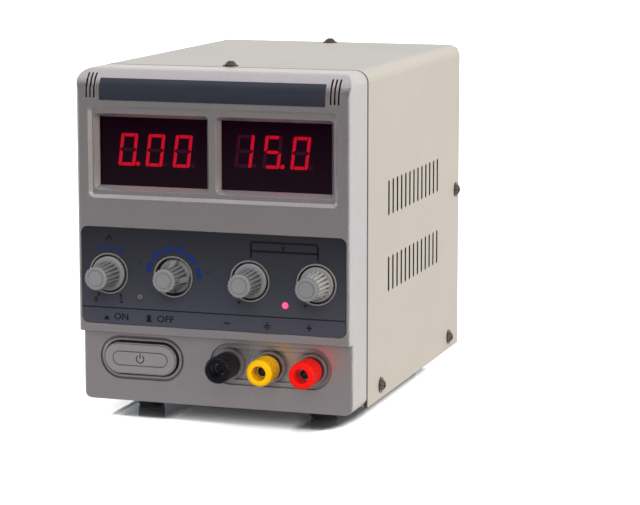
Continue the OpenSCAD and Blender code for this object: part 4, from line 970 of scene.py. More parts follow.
class Workshop:
    """Makes flat raised print with edit-mode tools."""

    capital: float = 0.7
    stroke: float = 0.08 * MM
    weld: float = 0.000001
    corner_steps: int = 5

    def __init__(self, front_y: float, thickness: float) -> None:
        """Sets the plane that the print stands on.

        Args:
            front_y: Y of the face that carries the print.
            thickness: How far the print stands out of that face.
        """
        self.front_y = front_y
        self.thickness = thickness

    def on_face(self, at: Pair) -> Place:
        """A place of the front as a point on the face that carries the print."""
        return (at[0], self.front_y, at[1])

    @staticmethod
    def clear_selection() -> None:
        """Leaves nothing selected."""
        if bpy.context.object and bpy.context.object.mode != "OBJECT":
            bpy.ops.object.mode_set(mode="OBJECT")
        bpy.ops.object.select_all(action="DESELECT")

    @staticmethod
    def open_mesh(choice: str | None = "SELECT") -> None:
        """Opens the active piece's mesh, with all or none of it selected, or as it was.

        Args:
            choice: What is selected first, or nothing to leave it.
        """
        bpy.ops.object.mode_set(mode="EDIT")
        if choice:
            bpy.ops.mesh.select_all(action=choice)

    @staticmethod
    def close_mesh() -> None:
        """Ends the work on the active piece's mesh."""
        bpy.ops.object.mode_set(mode="OBJECT")

    @staticmethod
    def settle(piece: Piece) -> None:
        """Moves a piece's place, turn and scale into its mesh.

        Args:
            piece: The piece, which is then the only one selected.
        """
        Workshop.clear_selection()
        piece.select_set(True)
        bpy.context.view_layer.objects.active = piece
        bpy.ops.object.transform_apply(location=True, rotation=True, scale=True)

    def raise_faces(self, piece: Piece) -> Piece:
        """Gives a flat piece its thickness towards the front and turns its faces outwards.

        Args:
            piece: A flat mesh that lies on the plane of the print.

        Returns:
            The same piece.
        """
        self.settle(piece)
        self.open_mesh()
        bpy.ops.mesh.remove_doubles(threshold=self.weld)
        bpy.ops.mesh.extrude_region_move(
            TRANSFORM_OT_translate={"value": (0.0, -self.thickness, 0.0)}
        )
        bpy.ops.mesh.select_all(action="SELECT")
        bpy.ops.mesh.normals_make_consistent(inside=False)
        self.close_mesh()
        return piece

    def plate(self, at: Pair, width: float, height: float, round_off: float = 0.0) -> Piece:
        """A small rectangular plate of print.

        Args:
            at: Its middle.
            width: Its size along X.
            height: Its size along Z.
            round_off: The radius of its corners.

        Returns:
            The plate.
        """
        self.clear_selection()
        bpy.ops.mesh.primitive_plane_add(
            size=1.0, location=self.on_face(at), rotation=FACING_FRONT
        )
        piece = bpy.context.object
        piece.scale = (width, height, 1.0)
        self.settle(piece)
        if round_off > 0:
            self.open_mesh()
            bpy.ops.mesh.bevel(offset=round_off, segments=self.corner_steps, affect="VERTICES")
            self.close_mesh()
        return self.raise_faces(piece)

    def disc(self, at: Pair, radius: float, corners: int = 20, turn: float = 0.0) -> Piece:
        """A round dot, or a regular shape with few corners.

        Args:
            at: Its middle.
            radius: The distance of its corners from the middle.
            corners: How many corners it has.
            turn: Its turn, clockwise as seen from the front, in degrees.

        Returns:
            The dot.
        """
        self.clear_selection()
        bpy.ops.mesh.primitive_circle_add(
            vertices=corners, radius=radius, fill_type="NGON", location=self.on_face(at),
            rotation=(math.radians(90), math.radians(turn), 0.0),
        )
        return self.raise_faces(bpy.context.object)

    def arc_bar(
        self, centre: Spot, radius: float, width: float, start: float, end: float, steps: int
    ) -> Piece:
        """A bar bent round a centre.

        Args:
            centre: The centre.
            radius: The radius of its middle line.
            width: Its width.
            start: Where it starts, in degrees counter-clockwise from the right.
            end: Where it ends, a smaller angle than its start.
            steps: How many faces it has.

        Returns:
            The bar.
        """
        radii = (radius - width / 2, radius + width / 2)
        bar = self.ribbon(*(centre.around(r, start) for r in radii))
        self.sweep(centre, start - end, steps)
        return self.raise_faces(bar)

    def ribbon(self, start: Pair, end: Pair) -> Piece:
        """One edge in the plane, from which a line is drawn by push and sweep.

        Args:
            start: One end of the edge.
            end: The other end.

        Returns:
            The piece, with its edge selected.
        """
        self.clear_selection()
        bpy.ops.mesh.primitive_plane_add(size=1.0, location=ORIGIN)
        piece = bpy.context.object
        self.open_mesh("DESELECT")
        self.close_mesh()
        for spare in list(piece.data.vertices)[2:]:
            spare.select = True
        self.open_mesh(None)
        bpy.ops.mesh.delete(type="VERT")
        bpy.ops.mesh.select_all(action="SELECT")
        self.close_mesh()
        for vertex, place in zip(piece.data.vertices, (start, end)):
            vertex.co = self.on_face(place)
        return piece

    def push(self, dx: float, dz: float) -> None:
        """Draws the ribbon's open end straight on.

        Args:
            dx: How far to the right.
            dz: How far up.
        """
        self.open_mesh(None)
        bpy.ops.mesh.extrude_region_move(TRANSFORM_OT_translate={"value": (dx, 0.0, dz)})
        self.close_mesh()

    def sweep(self, centre: Pair, degrees: float, steps: int = 8) -> None:
        """Draws the ribbon's open end round a centre.

        Args:
            centre: The centre.
            degrees: The turn, clockwise as seen from the front when it is positive.
            steps: How many faces the bend has.
        """
        self.open_mesh(None)
        bpy.ops.mesh.spin(
            steps=steps, angle=-math.radians(degrees), center=self.on_face(centre),
            axis=(0.0, 1.0, 0.0),
        )
        self.close_mesh()

    def word(self, text: str, at: Pair, height: float, stretch: float = 1.15) -> Piece:
        """Plain figures or an on or off mark, centred on a place.

        Args:
            text: What is printed.
            at: Its middle.
            height: The height of a capital.
            stretch: How much wider it is than the plain type.

        Returns:
            The raised print.
        """
        self.clear_selection()
        bpy.ops.object.text_add(location=ORIGIN)
        letters = bpy.context.object.data
        letters.body = text
        letters.size = height / self.capital
        letters.offset = self.stroke
        letters.align_x = "CENTER"
        letters.align_y = "CENTER"
        letters.resolution_u = 3
        bpy.ops.object.convert(target="MESH")
        piece = bpy.context.object
        piece.rotation_euler = FACING_FRONT
        piece.scale = (stretch, 1.0, 1.0)
        piece.location = self.on_face(at)
        return self.raise_faces(piece)

    @staticmethod
    def join(name: str, parts: list[Piece]) -> Piece:
        """Joins marks of one ink into one piece.

        Args:
            name: The piece's name.
            parts: The marks.

        Returns:
            The joined piece.
        """
        Workshop.clear_selection()
        for part in parts:
            part.select_set(True)
        bpy.context.view_layer.objects.active = parts[0]
        bpy.ops.object.join()
        piece = bpy.context.object
        piece.name = name
        piece.data.name = name
        return piece


def dressed(**worn: str) -> dict[str, str]:
    """The field that says what each solid wears.

    Args:
        worn: The names of the solids that wear a finish, parted by spaces.

    Returns:
        A field whose value gives each solid its finish.
    """
    pairs = {node: finish for finish, nodes in worn.items() for node in nodes.split()}
    return field(default_factory=lambda: dict(pairs))


@dataclass
class SubAssembly:
    """One part of the supply, with the solids that it dresses."""

    frame: dict
    palette: Palette
    finishes: dict[str, str] = dressed()
    pieces: list[Piece] = field(default_factory=list)

    def build(self) -> None:
        """Makes the pieces that the solids don't have; most parts have none."""

    def dress(self) -> None:
        """Gives each solid of this part its finish."""
        for node, finish in self.finishes.items():
            self.palette.paint(self.frame["nodes"][node], finish)

    def dress_by(self, node: str, rule: Callable[[Face], bool], *names: str) -> None:
        """Gives one solid two finishes.

        Args:
            node: The solid.
            rule: Says whether a face wears the second finish.
            names: The two finishes.
        """
        solid = self.frame["nodes"][node]
        self.palette.paint(solid, *names)
        for polygon in solid.data.polygons:
            polygon.material_index = 1 if rule(polygon) else 0

    def keep(self, name: str, marks: list[Piece], body: str, slot: Slot, finish: str) -> None:
        """Makes marks one piece, dresses it and lets it ride on its body.

        Args:
            name: The name of the new piece.
            marks: Its marks.
            body: The body that carries it.
            slot: The record's material slot that it belongs to; not used.
            finish: The name of its finish.
        """
        piece = Workshop.join(name, marks)
        self.palette.paint(piece, finish)
        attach(piece, body)
        self.pieces.append(piece)

    def axis_of(self, joint: str) -> Spot:
        """The place on the front of a joint's axis.

        Args:
            joint: The joint's name.

        Returns:
            The place.
        """
        found = next(j for j in self.frame["joints"] if j["name"] == joint)
        point = Vector(found["pos_m"])
        return Spot(point.x, point.z)

    def report(self) -> None:
        """Writes a line for each solid and each new piece."""
        for node, finish in self.finishes.items():
            LOG.info("%s: solid %s in %s", type(self).__name__, node, finish)
        for piece in self.pieces:
            count = len(piece.data.polygons)
            LOG.info("%s: piece %s, %d faces", type(self).__name__, piece.name, count)


@dataclass
class FrontMoulding(SubAssembly):
    """The moulded front with its two films."""

    finishes: dict[str, str] = dressed(
        silver_moulding="front_bezel", slate_film="title_strip", dark_film="control_overlay"
    )


class Bar(Enum):
    """The bars of a digit, and its point."""

    TOP = "top"
    UPPER_RIGHT = "upper_right"
    LOWER_RIGHT = "lower_right"
    BOTTOM = "bottom"
    LOWER_LEFT = "lower_left"
    UPPER_LEFT = "upper_left"
    MIDDLE = "middle"
    POINT = "point"


ZERO = {Bar.TOP, Bar.UPPER_RIGHT, Bar.LOWER_RIGHT, Bar.BOTTOM, Bar.LOWER_LEFT, Bar.UPPER_LEFT}
ONE = {Bar.UPPER_RIGHT, Bar.LOWER_RIGHT}
FIVE = {Bar.TOP, Bar.UPPER_LEFT, Bar.MIDDLE, Bar.LOWER_RIGHT, Bar.BOTTOM}


@dataclass(frozen=True)
class Reading:
    """What one meter shows, and where its digits sit in their window."""

    window: str
    aside: float
    raised: float
    digits: tuple[set[Bar], ...]


@dataclass
class Display(SubAssembly):
    """Two panes with three digits behind each."""

    finishes: dict[str, str] = dressed(
        smoked_pane="current_window voltage_window", module_black="display_modules display_board"
    )
    digit_pitch: float = 12.7 * MM
    digit_width: float = 7.8 * MM
    digit_height: float = 14.2 * MM
    slant: float = math.radians(7)
    point_from: float = 0.6
    middle_share: float = 0.2
    digit_reach: Pair = (-0.6, 0.9)
    steps_per_metre: float = 1e7
    readings: tuple[Reading, ...] = (
        Reading("current_window", 0.45 * MM, 0.45 * MM, (ZERO | {Bar.POINT}, ZERO, ZERO)),
        Reading("voltage_window", 3.0 * MM, 1.6 * MM, (ONE, FIVE | {Bar.POINT}, ZERO)),
    )

    def bar_at(self, across: float, up: float) -> Bar:
        """Names the bar whose middle lies at a place in an upright digit.

        Args:
            across: Distance to the right of the digit's middle.
            up: Distance above the digit's middle.

        Returns:
            The bar.
        """
        if across > self.digit_width * self.point_from:
            return Bar.POINT
        if abs(across) < self.digit_width * self.middle_share:
            if abs(up) < self.digit_height * self.middle_share:
                return Bar.MIDDLE
            return Bar.TOP if up > 0 else Bar.BOTTOM
        if across > 0:
            return Bar.UPPER_RIGHT if up > 0 else Bar.LOWER_RIGHT
        return Bar.UPPER_LEFT if up > 0 else Bar.LOWER_LEFT

    def is_lit(self, middle: Vector) -> bool:
        """Says whether the bar with its middle at this place is lit.

        Args:
            middle: The middle of the bar.

        Returns:
            Whether the readings light it.
        """
        for reading in self.readings:
            low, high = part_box(reading.window)
            if not low.x < middle.x < high.x:
                continue
            up = middle.z - (low.z + high.z) / 2 - reading.raised
            upright = middle.x - (low.x + high.x) / 2 + reading.aside - up * math.tan(self.slant)
            for place, lit in zip((-1, 0, 1), reading.digits):
                across = upright - place * self.digit_pitch
                left, right = (self.digit_width * share for share in self.digit_reach)
                if left < across < right:
                    return self.bar_at(across, up) in lit
        return False

    def islands(self, mesh: bpy.types.Mesh) -> list[list[int]]:
        """Groups a mesh's faces by the solid that they belong to.

        Args:
            mesh: A mesh of loose triangles.

        Returns:
            Face numbers, solid by solid.
        """
        keys = [tuple(round(c * self.steps_per_metre) for c in v.co) for v in mesh.vertices]
        first = {}
        parent = list(range(len(mesh.polygons)))

        def root(face: int) -> int:
            """The face that stands for a face's solid.

            Args:
                face: The number of a face.

            Returns:
                The number of the face that stands for all of its solid.
            """
            while parent[face] != face:
                parent[face] = parent[parent[face]]
                face = parent[face]
            return face

        for polygon in mesh.polygons:
            for vertex in polygon.vertices:
                other = first.setdefault(keys[vertex], polygon.index)
                parent[root(polygon.index)] = root(other)
        groups: dict[int, list[int]] = {}
        for polygon in mesh.polygons:
            groups.setdefault(root(polygon.index), []).append(polygon.index)
        return list(groups.values())

    def dress(self) -> None:
        """Dresses the panes and boards, and lights the bars of the two readings."""
        super().dress()
        mesh = self.frame["nodes"]["display_segments"].data
        lit = set()
        for faces in self.islands(mesh):
            corners = [mesh.vertices[v].co for f in faces for v in mesh.polygons[f].vertices]
            low = Vector(min(c[i] for c in corners) for i in range(3))
            high = Vector(max(c[i] for c in corners) for i in range(3))
            if self.is_lit((low + high) / 2):
                lit.update(faces)
        finishes = ("unlit_segment", "lit_segment")
        self.dress_by("display_segments", lambda polygon: polygon.index in lit, *finishes)


@dataclass
class ControlPrint(SubAssembly):
    """The marks printed on the control film, and the lines and blocks round the knobs."""

    print_height: float = 0.03 * MM
    line: float = 0.95 * MM
    arc_radius: float = 11.6 * MM
    arc_half_turn: float = 27.0
    arc_steps: int = 14
    arrow_size: float = 1.5 * MM
    arrow_turn: float = 4.0
    block_radius: float = 11.9 * MM
    block_width: float = 2.4 * MM
    block_span: float = 24.0
    block_steps: int = 6
    block_turns: tuple = (10.0, 43.0, 73.0, 102.0, 131.0, 161.0)
    range_figures: tuple = ("12", "9", "7.5", "6", "4.5", "3")
    range_figure_height: float = 1.8 * MM
    gap_above: float = 3.3 * MM
    gap_beside: float = 4.6 * MM
    above_turns: Pair = (30.0, 150.0)
    figures: tuple = (("0", -6.5 * MM), ("2", 5.4 * MM))
    figure_height: float = 2.3 * MM
    figure_below: float = 11.9 * MM
    letter_height: float = 2.8 * MM
    ampere_above: float = 16.0 * MM
    volt_above: float = 15.0 * MM
    dot_radius: float = 0.65 * MM
    dot_aside: float = 5.2 * MM
    dot_below: float = 9.6 * MM
    bracket_foot: float = 10.3 * MM
    bracket_head: float = 17.5 * MM
    bracket_bar: float = 13.1 * MM
    bracket_bend: float = 1.6 * MM
    long_line_below: float = 14.1 * MM
    long_line: float = 0.5 * MM
    row_below: float = 3.9 * MM
    key_marks: tuple = (
        ("ON", -49.2 * MM, 1.2 * MM, -42.3 * MM, 1.1),
        ("OFF", -29.3 * MM, 2.6 * MM, -21.6 * MM, 1.15),
    )
    icon_foot: float = 1.3 * MM
    icon_half_step: float = 0.2 * MM
    icon_width: float = 1.8 * MM
    icon_corner: float = 0.3 * MM
    sign_line: float = 0.6 * MM
    sign_width: float = 2.8 * MM
    minus_width: float = 3.0 * MM
    sign_asides: tuple = (0.9 * MM, 0.2 * MM, 0.1 * MM)
    earth_stem: Pair = (0.5 * MM, 1.8 * MM)
    earth_widths: tuple = (3.6, 2.4, 1.1)
    earth_step: float = 0.85 * MM
    earth_line: float = 0.45 * MM

    def build(self) -> None:
        """Prints the marks."""
        low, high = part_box("control_overlay")
        self.shop = Workshop(low.y, self.print_height)
        self.middle = Spot((low.x + high.x) / 2, (low.z + high.z) / 2)
        self.width = high.x - low.x
        names = ("current", "selector", "fine", "coarse")
        self.knobs = {name: self.axis_of(f"{name}_turn") for name in names}
        self.knob_print()
        self.range_print()
        self.lower_print()

    def ink(self, name: str, marks: list[Piece], finish: str) -> None:
        """Keeps marks as one piece of print on the film."""
        self.keep(name, marks, "root", Slot.DARK_FILM, finish)

    def knob_print(self) -> None:
        """The arc over the current knob, the dots, the unit signs and the bracket."""
        shop = self.shop
        current, fine, coarse = (self.knobs[name] for name in ("current", "fine", "coarse"))
        start = 90.0 + self.arc_half_turn
        end = 90.0 - self.arc_half_turn
        arc = shop.arc_bar(current, self.arc_radius, self.line, start, end, self.arc_steps)
        tip = current.around(self.arc_radius, end - self.arrow_turn)
        self.ink("current_arc", [arc, shop.disc(tip, self.arrow_size, 3, start)], "navy_print")
        marks = []
        for knob, side in ((current, -1), (current, 1), (fine, -1), (coarse, -1)):
            place = knob.moved(side * self.dot_aside, -self.dot_below)
            marks.append(shop.disc(place, self.dot_radius))
        for text, aside in self.figures:
            place = current.moved(aside, -self.figure_below)
            marks.append(shop.word(text, place, self.figure_height))
        marks.append(shop.word("A", current.moved(0.0, self.ampere_above), self.letter_height))
        middle = Spot((fine.x + coarse.x) / 2, current.z + self.volt_above)
        marks.append(shop.word("V", middle, self.letter_height))
        marks.extend(self.bracket(fine, coarse))
        self.ink("knob_marks", marks, "black_print")

    def bracket(self, fine: Spot, coarse: Spot) -> list[Piece]:
        """The line that joins the two voltage knobs, with a second one across it.

        Args:
            fine: The axis of the fine knob.
            coarse: The axis of the coarse knob.

        Returns:
            The two marks.
        """
        shop = self.shop
        foot = fine.z + self.bracket_foot
        head = fine.z + self.bracket_head
        bend = self.bracket_bend
        line = self.line
        outline = shop.ribbon((fine.x, foot), (fine.x + line, foot))
        shop.push(0.0, head - foot - bend)
        shop.sweep((fine.x + bend, head - bend), 90.0)
        shop.push(coarse.x - fine.x + line - 2 * bend, 0.0)
        shop.sweep((coarse.x + line - bend, head - bend), 90.0)
        shop.push(0.0, foot - head + bend)
        raised = shop.raise_faces(outline)
        middle = ((fine.x + coarse.x + line) / 2, fine.z + self.bracket_bar)
        return [raised, shop.plate(middle, coarse.x - fine.x, line)]

    def range_print(self) -> None:
        """Blocks and plain figures round the range knob."""
        shop = self.shop
        knob = self.knobs["selector"]
        half = self.block_span / 2
        size = (self.block_radius, self.block_width)
        blocks = []
        figures = []
        for turn, figure in zip(self.block_turns, self.range_figures):
            ends = (turn + half, turn - half)
            blocks.append(shop.arc_bar(knob, *size, *ends, self.block_steps))
            above = self.above_turns[0] < turn < self.above_turns[1]
            reach = self.block_radius + (self.gap_above if above else self.gap_beside)
            figures.append(shop.word(figure, knob.around(reach, turn), self.range_figure_height))
        self.ink("range_blocks", blocks, "navy_print")
        self.ink("range_figures", figures, "dim_print")

    def button_icon(self, at: Spot, out: float) -> list[Piece]:
        """A small picture of a push button that stands out by a given length.

        Args:
            at: The middle of its row.
            out: How far the button stands out.

        Returns:
            The base and the button.
        """
        foot = at.moved(0.0, -self.icon_foot)
        base = self.shop.plate(foot, self.sign_width, self.sign_line)
        middle = (at.x, foot.z + self.icon_half_step + out / 2)
        top = self.shop.plate(middle, self.icon_width, out, self.icon_corner)
        return [base, top]

    def earth_sign(self, at: Spot) -> list[Piece]:
        """The usual sign of an earthed terminal.

        Args:
            at: The place of its longest bar.

        Returns:
            The marks.
        """
        width, height = self.earth_stem
        marks = [self.shop.plate(at.moved(0.0, height / 2), width, height)]
        for step, length in enumerate(self.earth_widths):
            place = at.moved(0.0, -step * self.earth_step)
            marks.append(self.shop.plate(place, length * MM, self.earth_line))
        return marks

    def lower_print(self) -> None:
        """The line across the film, the on and off marks and the signs of the terminals."""
        shop = self.shop
        line = self.middle.moved(0.0, -self.long_line_below)
        row = line.z - self.row_below
        marks = [shop.plate(line, self.width, self.long_line)]
        for text, icon_x, out, word_x, stretch in self.key_marks:
            marks.extend(self.button_icon(Spot(icon_x, row), out))
            marks.append(shop.word(text, Spot(word_x, row), self.letter_height, stretch))
        posts = (self.axis_of(f"{name}_turn").x for name in ("negative", "ground", "positive"))
        minus, earth, plus = (Spot(x + dx, row) for x, dx in zip(posts, self.sign_asides))
        marks.append(shop.plate(minus, self.minus_width, self.sign_line))
        marks.extend(self.earth_sign(earth))
        marks.append(shop.plate(plus, self.sign_width, self.sign_line))
        marks.append(shop.plate(plus, self.sign_line, self.sign_width))
        self.ink("terminal_marks", marks, "black_print")


@dataclass
class Knobs(SubAssembly):
    """Four knobs with their crowns and shafts, and the controls that they turn."""

    finishes: dict[str, str] = dressed(
        knob_grey="current_knob current_knob_cap selector_knob selector_knob_cap fine_knob "
        "fine_knob_cap coarse_knob_cap",
        shaft_alloy="current_shaft selector_shaft fine_shaft coarse_shaft",
        control_body="potentiometers",
        black_plastic="range_switch",
        nickel="panel_nuts",
        circuit_board="control_board",
        clear_lamp="limit_lamp",
        red_lamp="output_lamp",
    )
    skirt: float = 2.3 * MM

    def dress(self) -> None:
        """Dresses the knobs, and keeps the coarse knob's skirt grey under its ivory grip."""
        super().dress()
        skirt_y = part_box("coarse_knob")[1].y - self.skirt
        finishes = ("knob_ivory", "knob_grey")
        self.dress_by("coarse_knob", lambda polygon: polygon.center.y > skirt_y, *finishes)


@dataclass
class PowerKey(SubAssembly):
    """The push button with its switch, and the plain power sign in the button's oval."""

    finishes: dict[str, str] = dressed(
        button_silver="power_button", white_nylon="switch_plunger", black_plastic="power_switch"
    )
    print_height: float = 0.02 * MM
    sign_radius: float = 1.75 * MM
    sign_line: float = 0.5 * MM
    sign_gap: float = 38.0
    sign_steps: int = 28
    stroke_raised: float = 0.75
    stroke_height: float = 1.3

    def build(self) -> None:
        """Marks the button with a broken ring and a stroke."""
        low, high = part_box("power_button")
        middle = Spot((low.x + high.x) / 2, (low.z + high.z) / 2)
        shop = Workshop(low.y, self.print_height)
        start = 90.0 - self.sign_gap
        end = self.sign_gap - 270.0
        ring = shop.arc_bar(middle, self.sign_radius, self.sign_line, start, end, self.sign_steps)
        place = middle.moved(0.0, self.sign_radius * self.stroke_raised)
        stroke = shop.plate(place, self.sign_line, self.sign_radius * self.stroke_height)
        parts = [ring, stroke]
        self.keep("power_sign", parts, "power_key", Slot.SILVER_MOULDING, "sign_print")


@dataclass
class Terminals(SubAssembly):
    """Three binding posts."""

    finishes: dict[str, str] = dressed(
        black_cap="negative_cap",
        yellow_cap="ground_cap",
        red_cap="positive_cap",
        brass="negative_insert ground_insert positive_insert",
        nickel="negative_stud ground_stud positive_stud",
        black_plastic="post_bushes",
    )


@dataclass
class Case(SubAssembly):
    """Cover, chassis, rear panel, screws and feet."""

    finishes: dict[str, str] = dressed(
        zinc_steel="chassis rear_panel", screw_metal="case_screws", rubber="feet"
    )
    sheet: float = 1.5 * MM
    margin: float = 8 * MM
    facing_aside: float = 0.5

    def dress(self) -> None:
        """Dresses the case, and paints shade on the cut walls of the cover's slots."""
        super().dress()
        low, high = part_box("top_cover")

        def is_cut(polygon: Face) -> bool:
            """Says whether a face is the wall of a slot in one of the cover's sides.

            Args:
                polygon: The face.

            Returns:
                Whether it is.
            """
            middle = polygon.center
            at_side = min(middle.x - low.x, high.x - middle.x) < self.sheet
            along = low.y + self.margin < middle.y < high.y - self.margin
            up = low.z + self.margin < middle.z < high.z - self.margin
            return at_side and along and up and abs(polygon.normal.x) < self.facing_aside

        self.dress_by("top_cover", is_cut, "cover_paint", "slot_edge")


@dataclass
class RearFittings(SubAssembly):
    """Heat sink with its transistor, mains inlet, fuse holder and voltage selector."""

    finishes: dict[str, str] = dressed(
        black_anodised="heat_sink",
        nickel="output_transistor inlet_pins",
        black_plastic="inlet fuse_holder fuse_cap voltage_selector",
        selector_red="selector_slider",
    )


@dataclass
class Inside(SubAssembly):
    """Transformer and main board."""

    finishes: dict[str, str] = dressed(
        core_steel="transformer_core",
        copper_tape="transformer_windings",
        zinc_steel="transformer_bracket",
        circuit_board="main_board",
        brass="board_standoffs",
        capacitor_sleeve="capacitors",
        relay_blue="relays",
        black_plastic="bridge_rectifier",
    )


@dataclass
class Studio:
    """Camera, lamp, white surroundings, floor and the cards that only a gloss shows."""

    camera_place: Place = (0.364866, -1.067944, 0.244605)
    camera_yaw: float = 0.31306
    camera_pitch: float = 0.16029
    lens: float = 137.615
    sensor: float = 36.0
    seen_range: Pair = (0.05, 60.0)
    sun_strength: float = 1.7
    sun_towards: Place = (0.15, -0.86, 0.48)
    sun_spread: float = 35.0
    tent: float = 0.46
    tent_tint: Colour = (0.94, 1.0, 1.1)
    overhead_tint: Colour = (0.79, 0.94, 1.22)
    overhead_band: Pair = (0.2, 1.0)
    right_light: float = 1.36
    right_tint: Colour = (1.08, 1.0, 0.88)
    floor_size: float = 12.0
    floor_reach: float = 30 * MM
    floor_samples: int = 16
    floor_painted_shadow_band: Pair = (0.06, 0.36)
    floor_bounce: float = 0.6
    floor_gloss: float = 0.1
    floor_mirror: float = 0.72
    floor_mirror_band: Pair = (0.35, 0.6)
    floor_roughness: float = 0.03
    floor_fade: Pair = (0.047, 0.06)
    floor_fade_by: float = 0.4
    feet_x: float = 41 * MM
    feet_shift: float = 6 * MM
    feet_band: Pair = (0.009, 0.014)
    feet_mirror: float = 0.96
    card_size: float = 7.0
    card_y: float = -2.7
    card_near: float = -0.089
    card_lift: float = 0.002
    card_levels: Pair = (0.01, 0.27)
    card_edge: Pair = (1.2, 0.1)
    card_tint: Colour = (0.96, 0.94, 1.07)
    card_height: float = 3.2
    overhead_levels: Pair = (0.72, 0.72)

    def camera(self) -> None:
        """Sets the camera at the photograph's place and angle."""
        data = bpy.data.cameras.new("camera")
        data.lens = self.lens
        data.sensor_width = self.sensor
        data.clip_start, data.clip_end = self.seen_range
        item = bpy.data.objects.new("camera", data)
        item.location = self.camera_place
        item.rotation_euler = (math.pi / 2 - self.camera_pitch, 0.0, self.camera_yaw)
        bpy.context.scene.collection.objects.link(item)
        bpy.context.scene.camera = item

    def lamps(self) -> None:
        """One broad lamp from the upper right."""
        data = bpy.data.lights.new("key_lamp", "SUN")
        data.energy = self.sun_strength
        data.angle = math.radians(self.sun_spread)
        item = bpy.data.objects.new("key_lamp", data)
        item.visible_glossy = False
        towards = Vector(self.sun_towards).normalized()
        item.rotation_mode = "QUATERNION"
        item.rotation_quaternion = towards.to_track_quat("Z", "Y")
        bpy.context.scene.collection.objects.link(item)

    @staticmethod
    def seen(graph: Graph) -> Socket:
        """1 for what the camera sees, also through glass or in a gloss.

        Args:
            graph: The graph that asks.

        Returns:
            1 or 0.
        """
        path = graph.add("ShaderNodeLightPath").outputs
        shown = graph.math("MAXIMUM", path["Is Camera Ray"], path["Is Glossy Ray"])
        return graph.math("MAXIMUM", shown, path["Is Transmission Ray"])

    def world(self) -> None:
        """A light tent: an even light all round, stronger and a little warmer at the right."""
        world = bpy.data.worlds.new("surroundings")
        world.use_nodes = True
        bpy.context.scene.world = world
        graph = Graph(world.node_tree)
        towards = graph.add("ShaderNodeTexCoord").outputs["Generated"]
        parts = graph.add("ShaderNodeSeparateXYZ", {"Vector": towards}).outputs
        share = graph.span(parts["X"], 0.0, 1.0)
        rise = graph.span(parts["Z"], *self.overhead_band)
        even = times(self.tent_tint, self.tent)
        right = times(self.right_tint, self.tent + self.right_light)
        overhead = times(self.overhead_tint, self.tent)
        light = graph.mix(rise, graph.mix(share, even, right), overhead)
        colour = graph.mix(self.seen(graph), light, WHITE)
        background = graph.add("ShaderNodeBackground", {"Color": colour, "Strength": 1.0})
        graph.add("ShaderNodeOutputWorld", {"Surface": background.outputs[0]})

    @staticmethod
    def stage_plane(name: str, size: float, place: Place, turn: Place) -> Piece:
        """A large plane that isn't part of the supply.

        Args:
            name: Its name.
            size: The length of its sides.
            place: Its middle.
            turn: Its rotation.

        Returns:
            The plane.
        """
        Workshop.clear_selection()
        bpy.ops.mesh.primitive_plane_add(size=size, location=place, rotation=turn)
        item = bpy.context.object
        item.name = name
        return item

    @staticmethod
    def matt(graph: Graph, level: float) -> Node:
        """A matt shader of a plain grey."""
        return graph.add("ShaderNodeBsdfDiffuse", {"Color": rgba((level,) * 3)})

    def mirror_share(self, graph: Graph, across: Socket, open_share: Socket) -> Socket:
        """How much the floor mirrors: most under the feet, hardly in the open.

        Args:
            graph: The floor's graph.
            across: How far to the right a point lies.
            open_share: How open it lies.

        Returns:
            The share.
        """
        aside = graph.math("ABSOLUTE", graph.math("SUBTRACT", across, self.feet_shift))
        beside = graph.math("ABSOLUTE", graph.math("SUBTRACT", aside, self.feet_x))
        strongest = graph.span(beside, *self.feet_band, self.feet_mirror, self.floor_mirror)
        return graph.span(open_share, *self.floor_mirror_band, strongest, self.floor_gloss)

    def floor(self) -> None:
        """A white, slightly glossy floor that keeps the supply's shadow; its glow carries a painted
        contact shadow, darker where the supply stands near and lifted towards the right.
        """
        item = self.stage_plane("floor", self.floor_size, ORIGIN, ORIGIN)
        material = new_material("white_floor")
        graph = Graph(material.node_tree)
        across = graph.part(graph.place(), "X")
        # painted shadow: the glow dims where the supply stands near, and is lifted towards the
        # right
        faded = graph.span(across, *self.floor_fade, 0.0, self.floor_fade_by)
        near = graph.open_share(self.floor_reach, self.floor_samples)
        open_share = graph.math("ADD", near, faded)
        level = graph.span(open_share, *self.floor_painted_shadow_band)
        painted_shadow_glow = graph.add("ShaderNodeEmission", {"Color": rgba(WHITE), "Strength": level})
        both = {0: painted_shadow_glow.outputs[0], 1: self.matt(graph, 1.0).outputs[0]}
        lit = graph.add("ShaderNodeAddShader", both)
        gloss = {"Color": rgba(WHITE), "Roughness": self.floor_roughness}
        mirror = graph.add("ShaderNodeBsdfGlossy", gloss)
        shown = graph.blend(self.mirror_share(graph, across, open_share), lit, mirror)
        bounce = self.matt(graph, self.floor_bounce)
        mixed = graph.blend(self.seen(graph), bounce, self.matt(graph, 1.0))
        straight = graph.add("ShaderNodeLightPath").outputs["Is Camera Ray"]
        whole = graph.blend(straight, mixed, shown)
        graph.add("ShaderNodeOutputMaterial", {"Surface": whole.outputs[0]})
        item.data.materials.append(material)

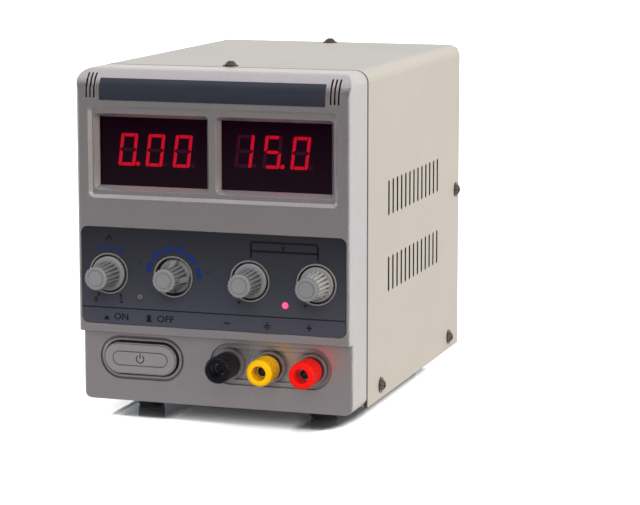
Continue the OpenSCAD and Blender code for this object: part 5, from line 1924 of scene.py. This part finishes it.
    def card(self, name: str, place: Place, turn: Place, levels: Pair) -> None:
        """One card that only a gloss shows, and only its face.

        Args:
            name: Its name.
            place: Its middle.
            turn: Its rotation.
            levels: How light it is on its far and on its near side.
        """
        item = self.stage_plane(name, self.card_size, place, turn)
        material = new_material(name)
        graph = Graph(material.node_tree)
        band = (self.card_size / 2 - inset for inset in self.card_edge)
        level = graph.span(graph.part(graph.place(), "Y"), *band, *levels)
        light = {"Color": rgba(self.card_tint), "Strength": level}
        shown = graph.add("ShaderNodeEmission", light)
        clear = graph.add("ShaderNodeBsdfTransparent")
        behind = graph.add("ShaderNodeNewGeometry").outputs["Backfacing"]
        face = graph.blend(behind, shown, clear)
        graph.add("ShaderNodeOutputMaterial", {"Surface": face.outputs[0]})
        item.data.materials.append(material)
        item.visible_camera = False
        item.visible_diffuse = False
        item.visible_shadow = False

    def shade_cards(self) -> None:
        """Dark cards standing and lying before the front, and a paler one overhead."""
        half = self.card_size / 2
        towards_back = (math.radians(-90), 0.0, 0.0)
        self.card("standing_card", (0.0, self.card_y, half), towards_back, self.card_levels)
        before = (0.0, self.card_near - half, self.card_lift)
        self.card("lying_card", before, ORIGIN, self.card_levels)
        above = (0.0, 0.0, self.card_height)
        self.card("overhead_card", above, (math.radians(180), 0.0, 0.0), self.overhead_levels)

    def build(self) -> None:
        """Sets up the whole studio."""
        bpy.context.scene.view_settings.view_transform = "Standard"
        self.lamps()
        self.world()
        self.floor()
        self.shade_cards()


def corners(pair: tuple) -> list[list[float]]:
    """A box's two corners as plain lists."""
    return [[float(c) for c in corner] for corner in pair]


def main() -> None:
    """Dresses the supply, part by part, and sets it in the studio."""
    logging.basicConfig(level=logging.INFO, format="%(message)s")
    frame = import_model()
    Workshop.clear_selection()
    studio = Studio()
    studio.camera()
    palette = Palette(Effects())
    kinds = (
        FrontMoulding, Display, ControlPrint, Knobs, PowerKey, Terminals, Case, RearFittings, Inside
    )
    for kind in kinds:
        part = kind(frame, palette)
        part.build()
        part.dress()
        part.report()
    studio.build()


if __name__ == "__main__":
    main()
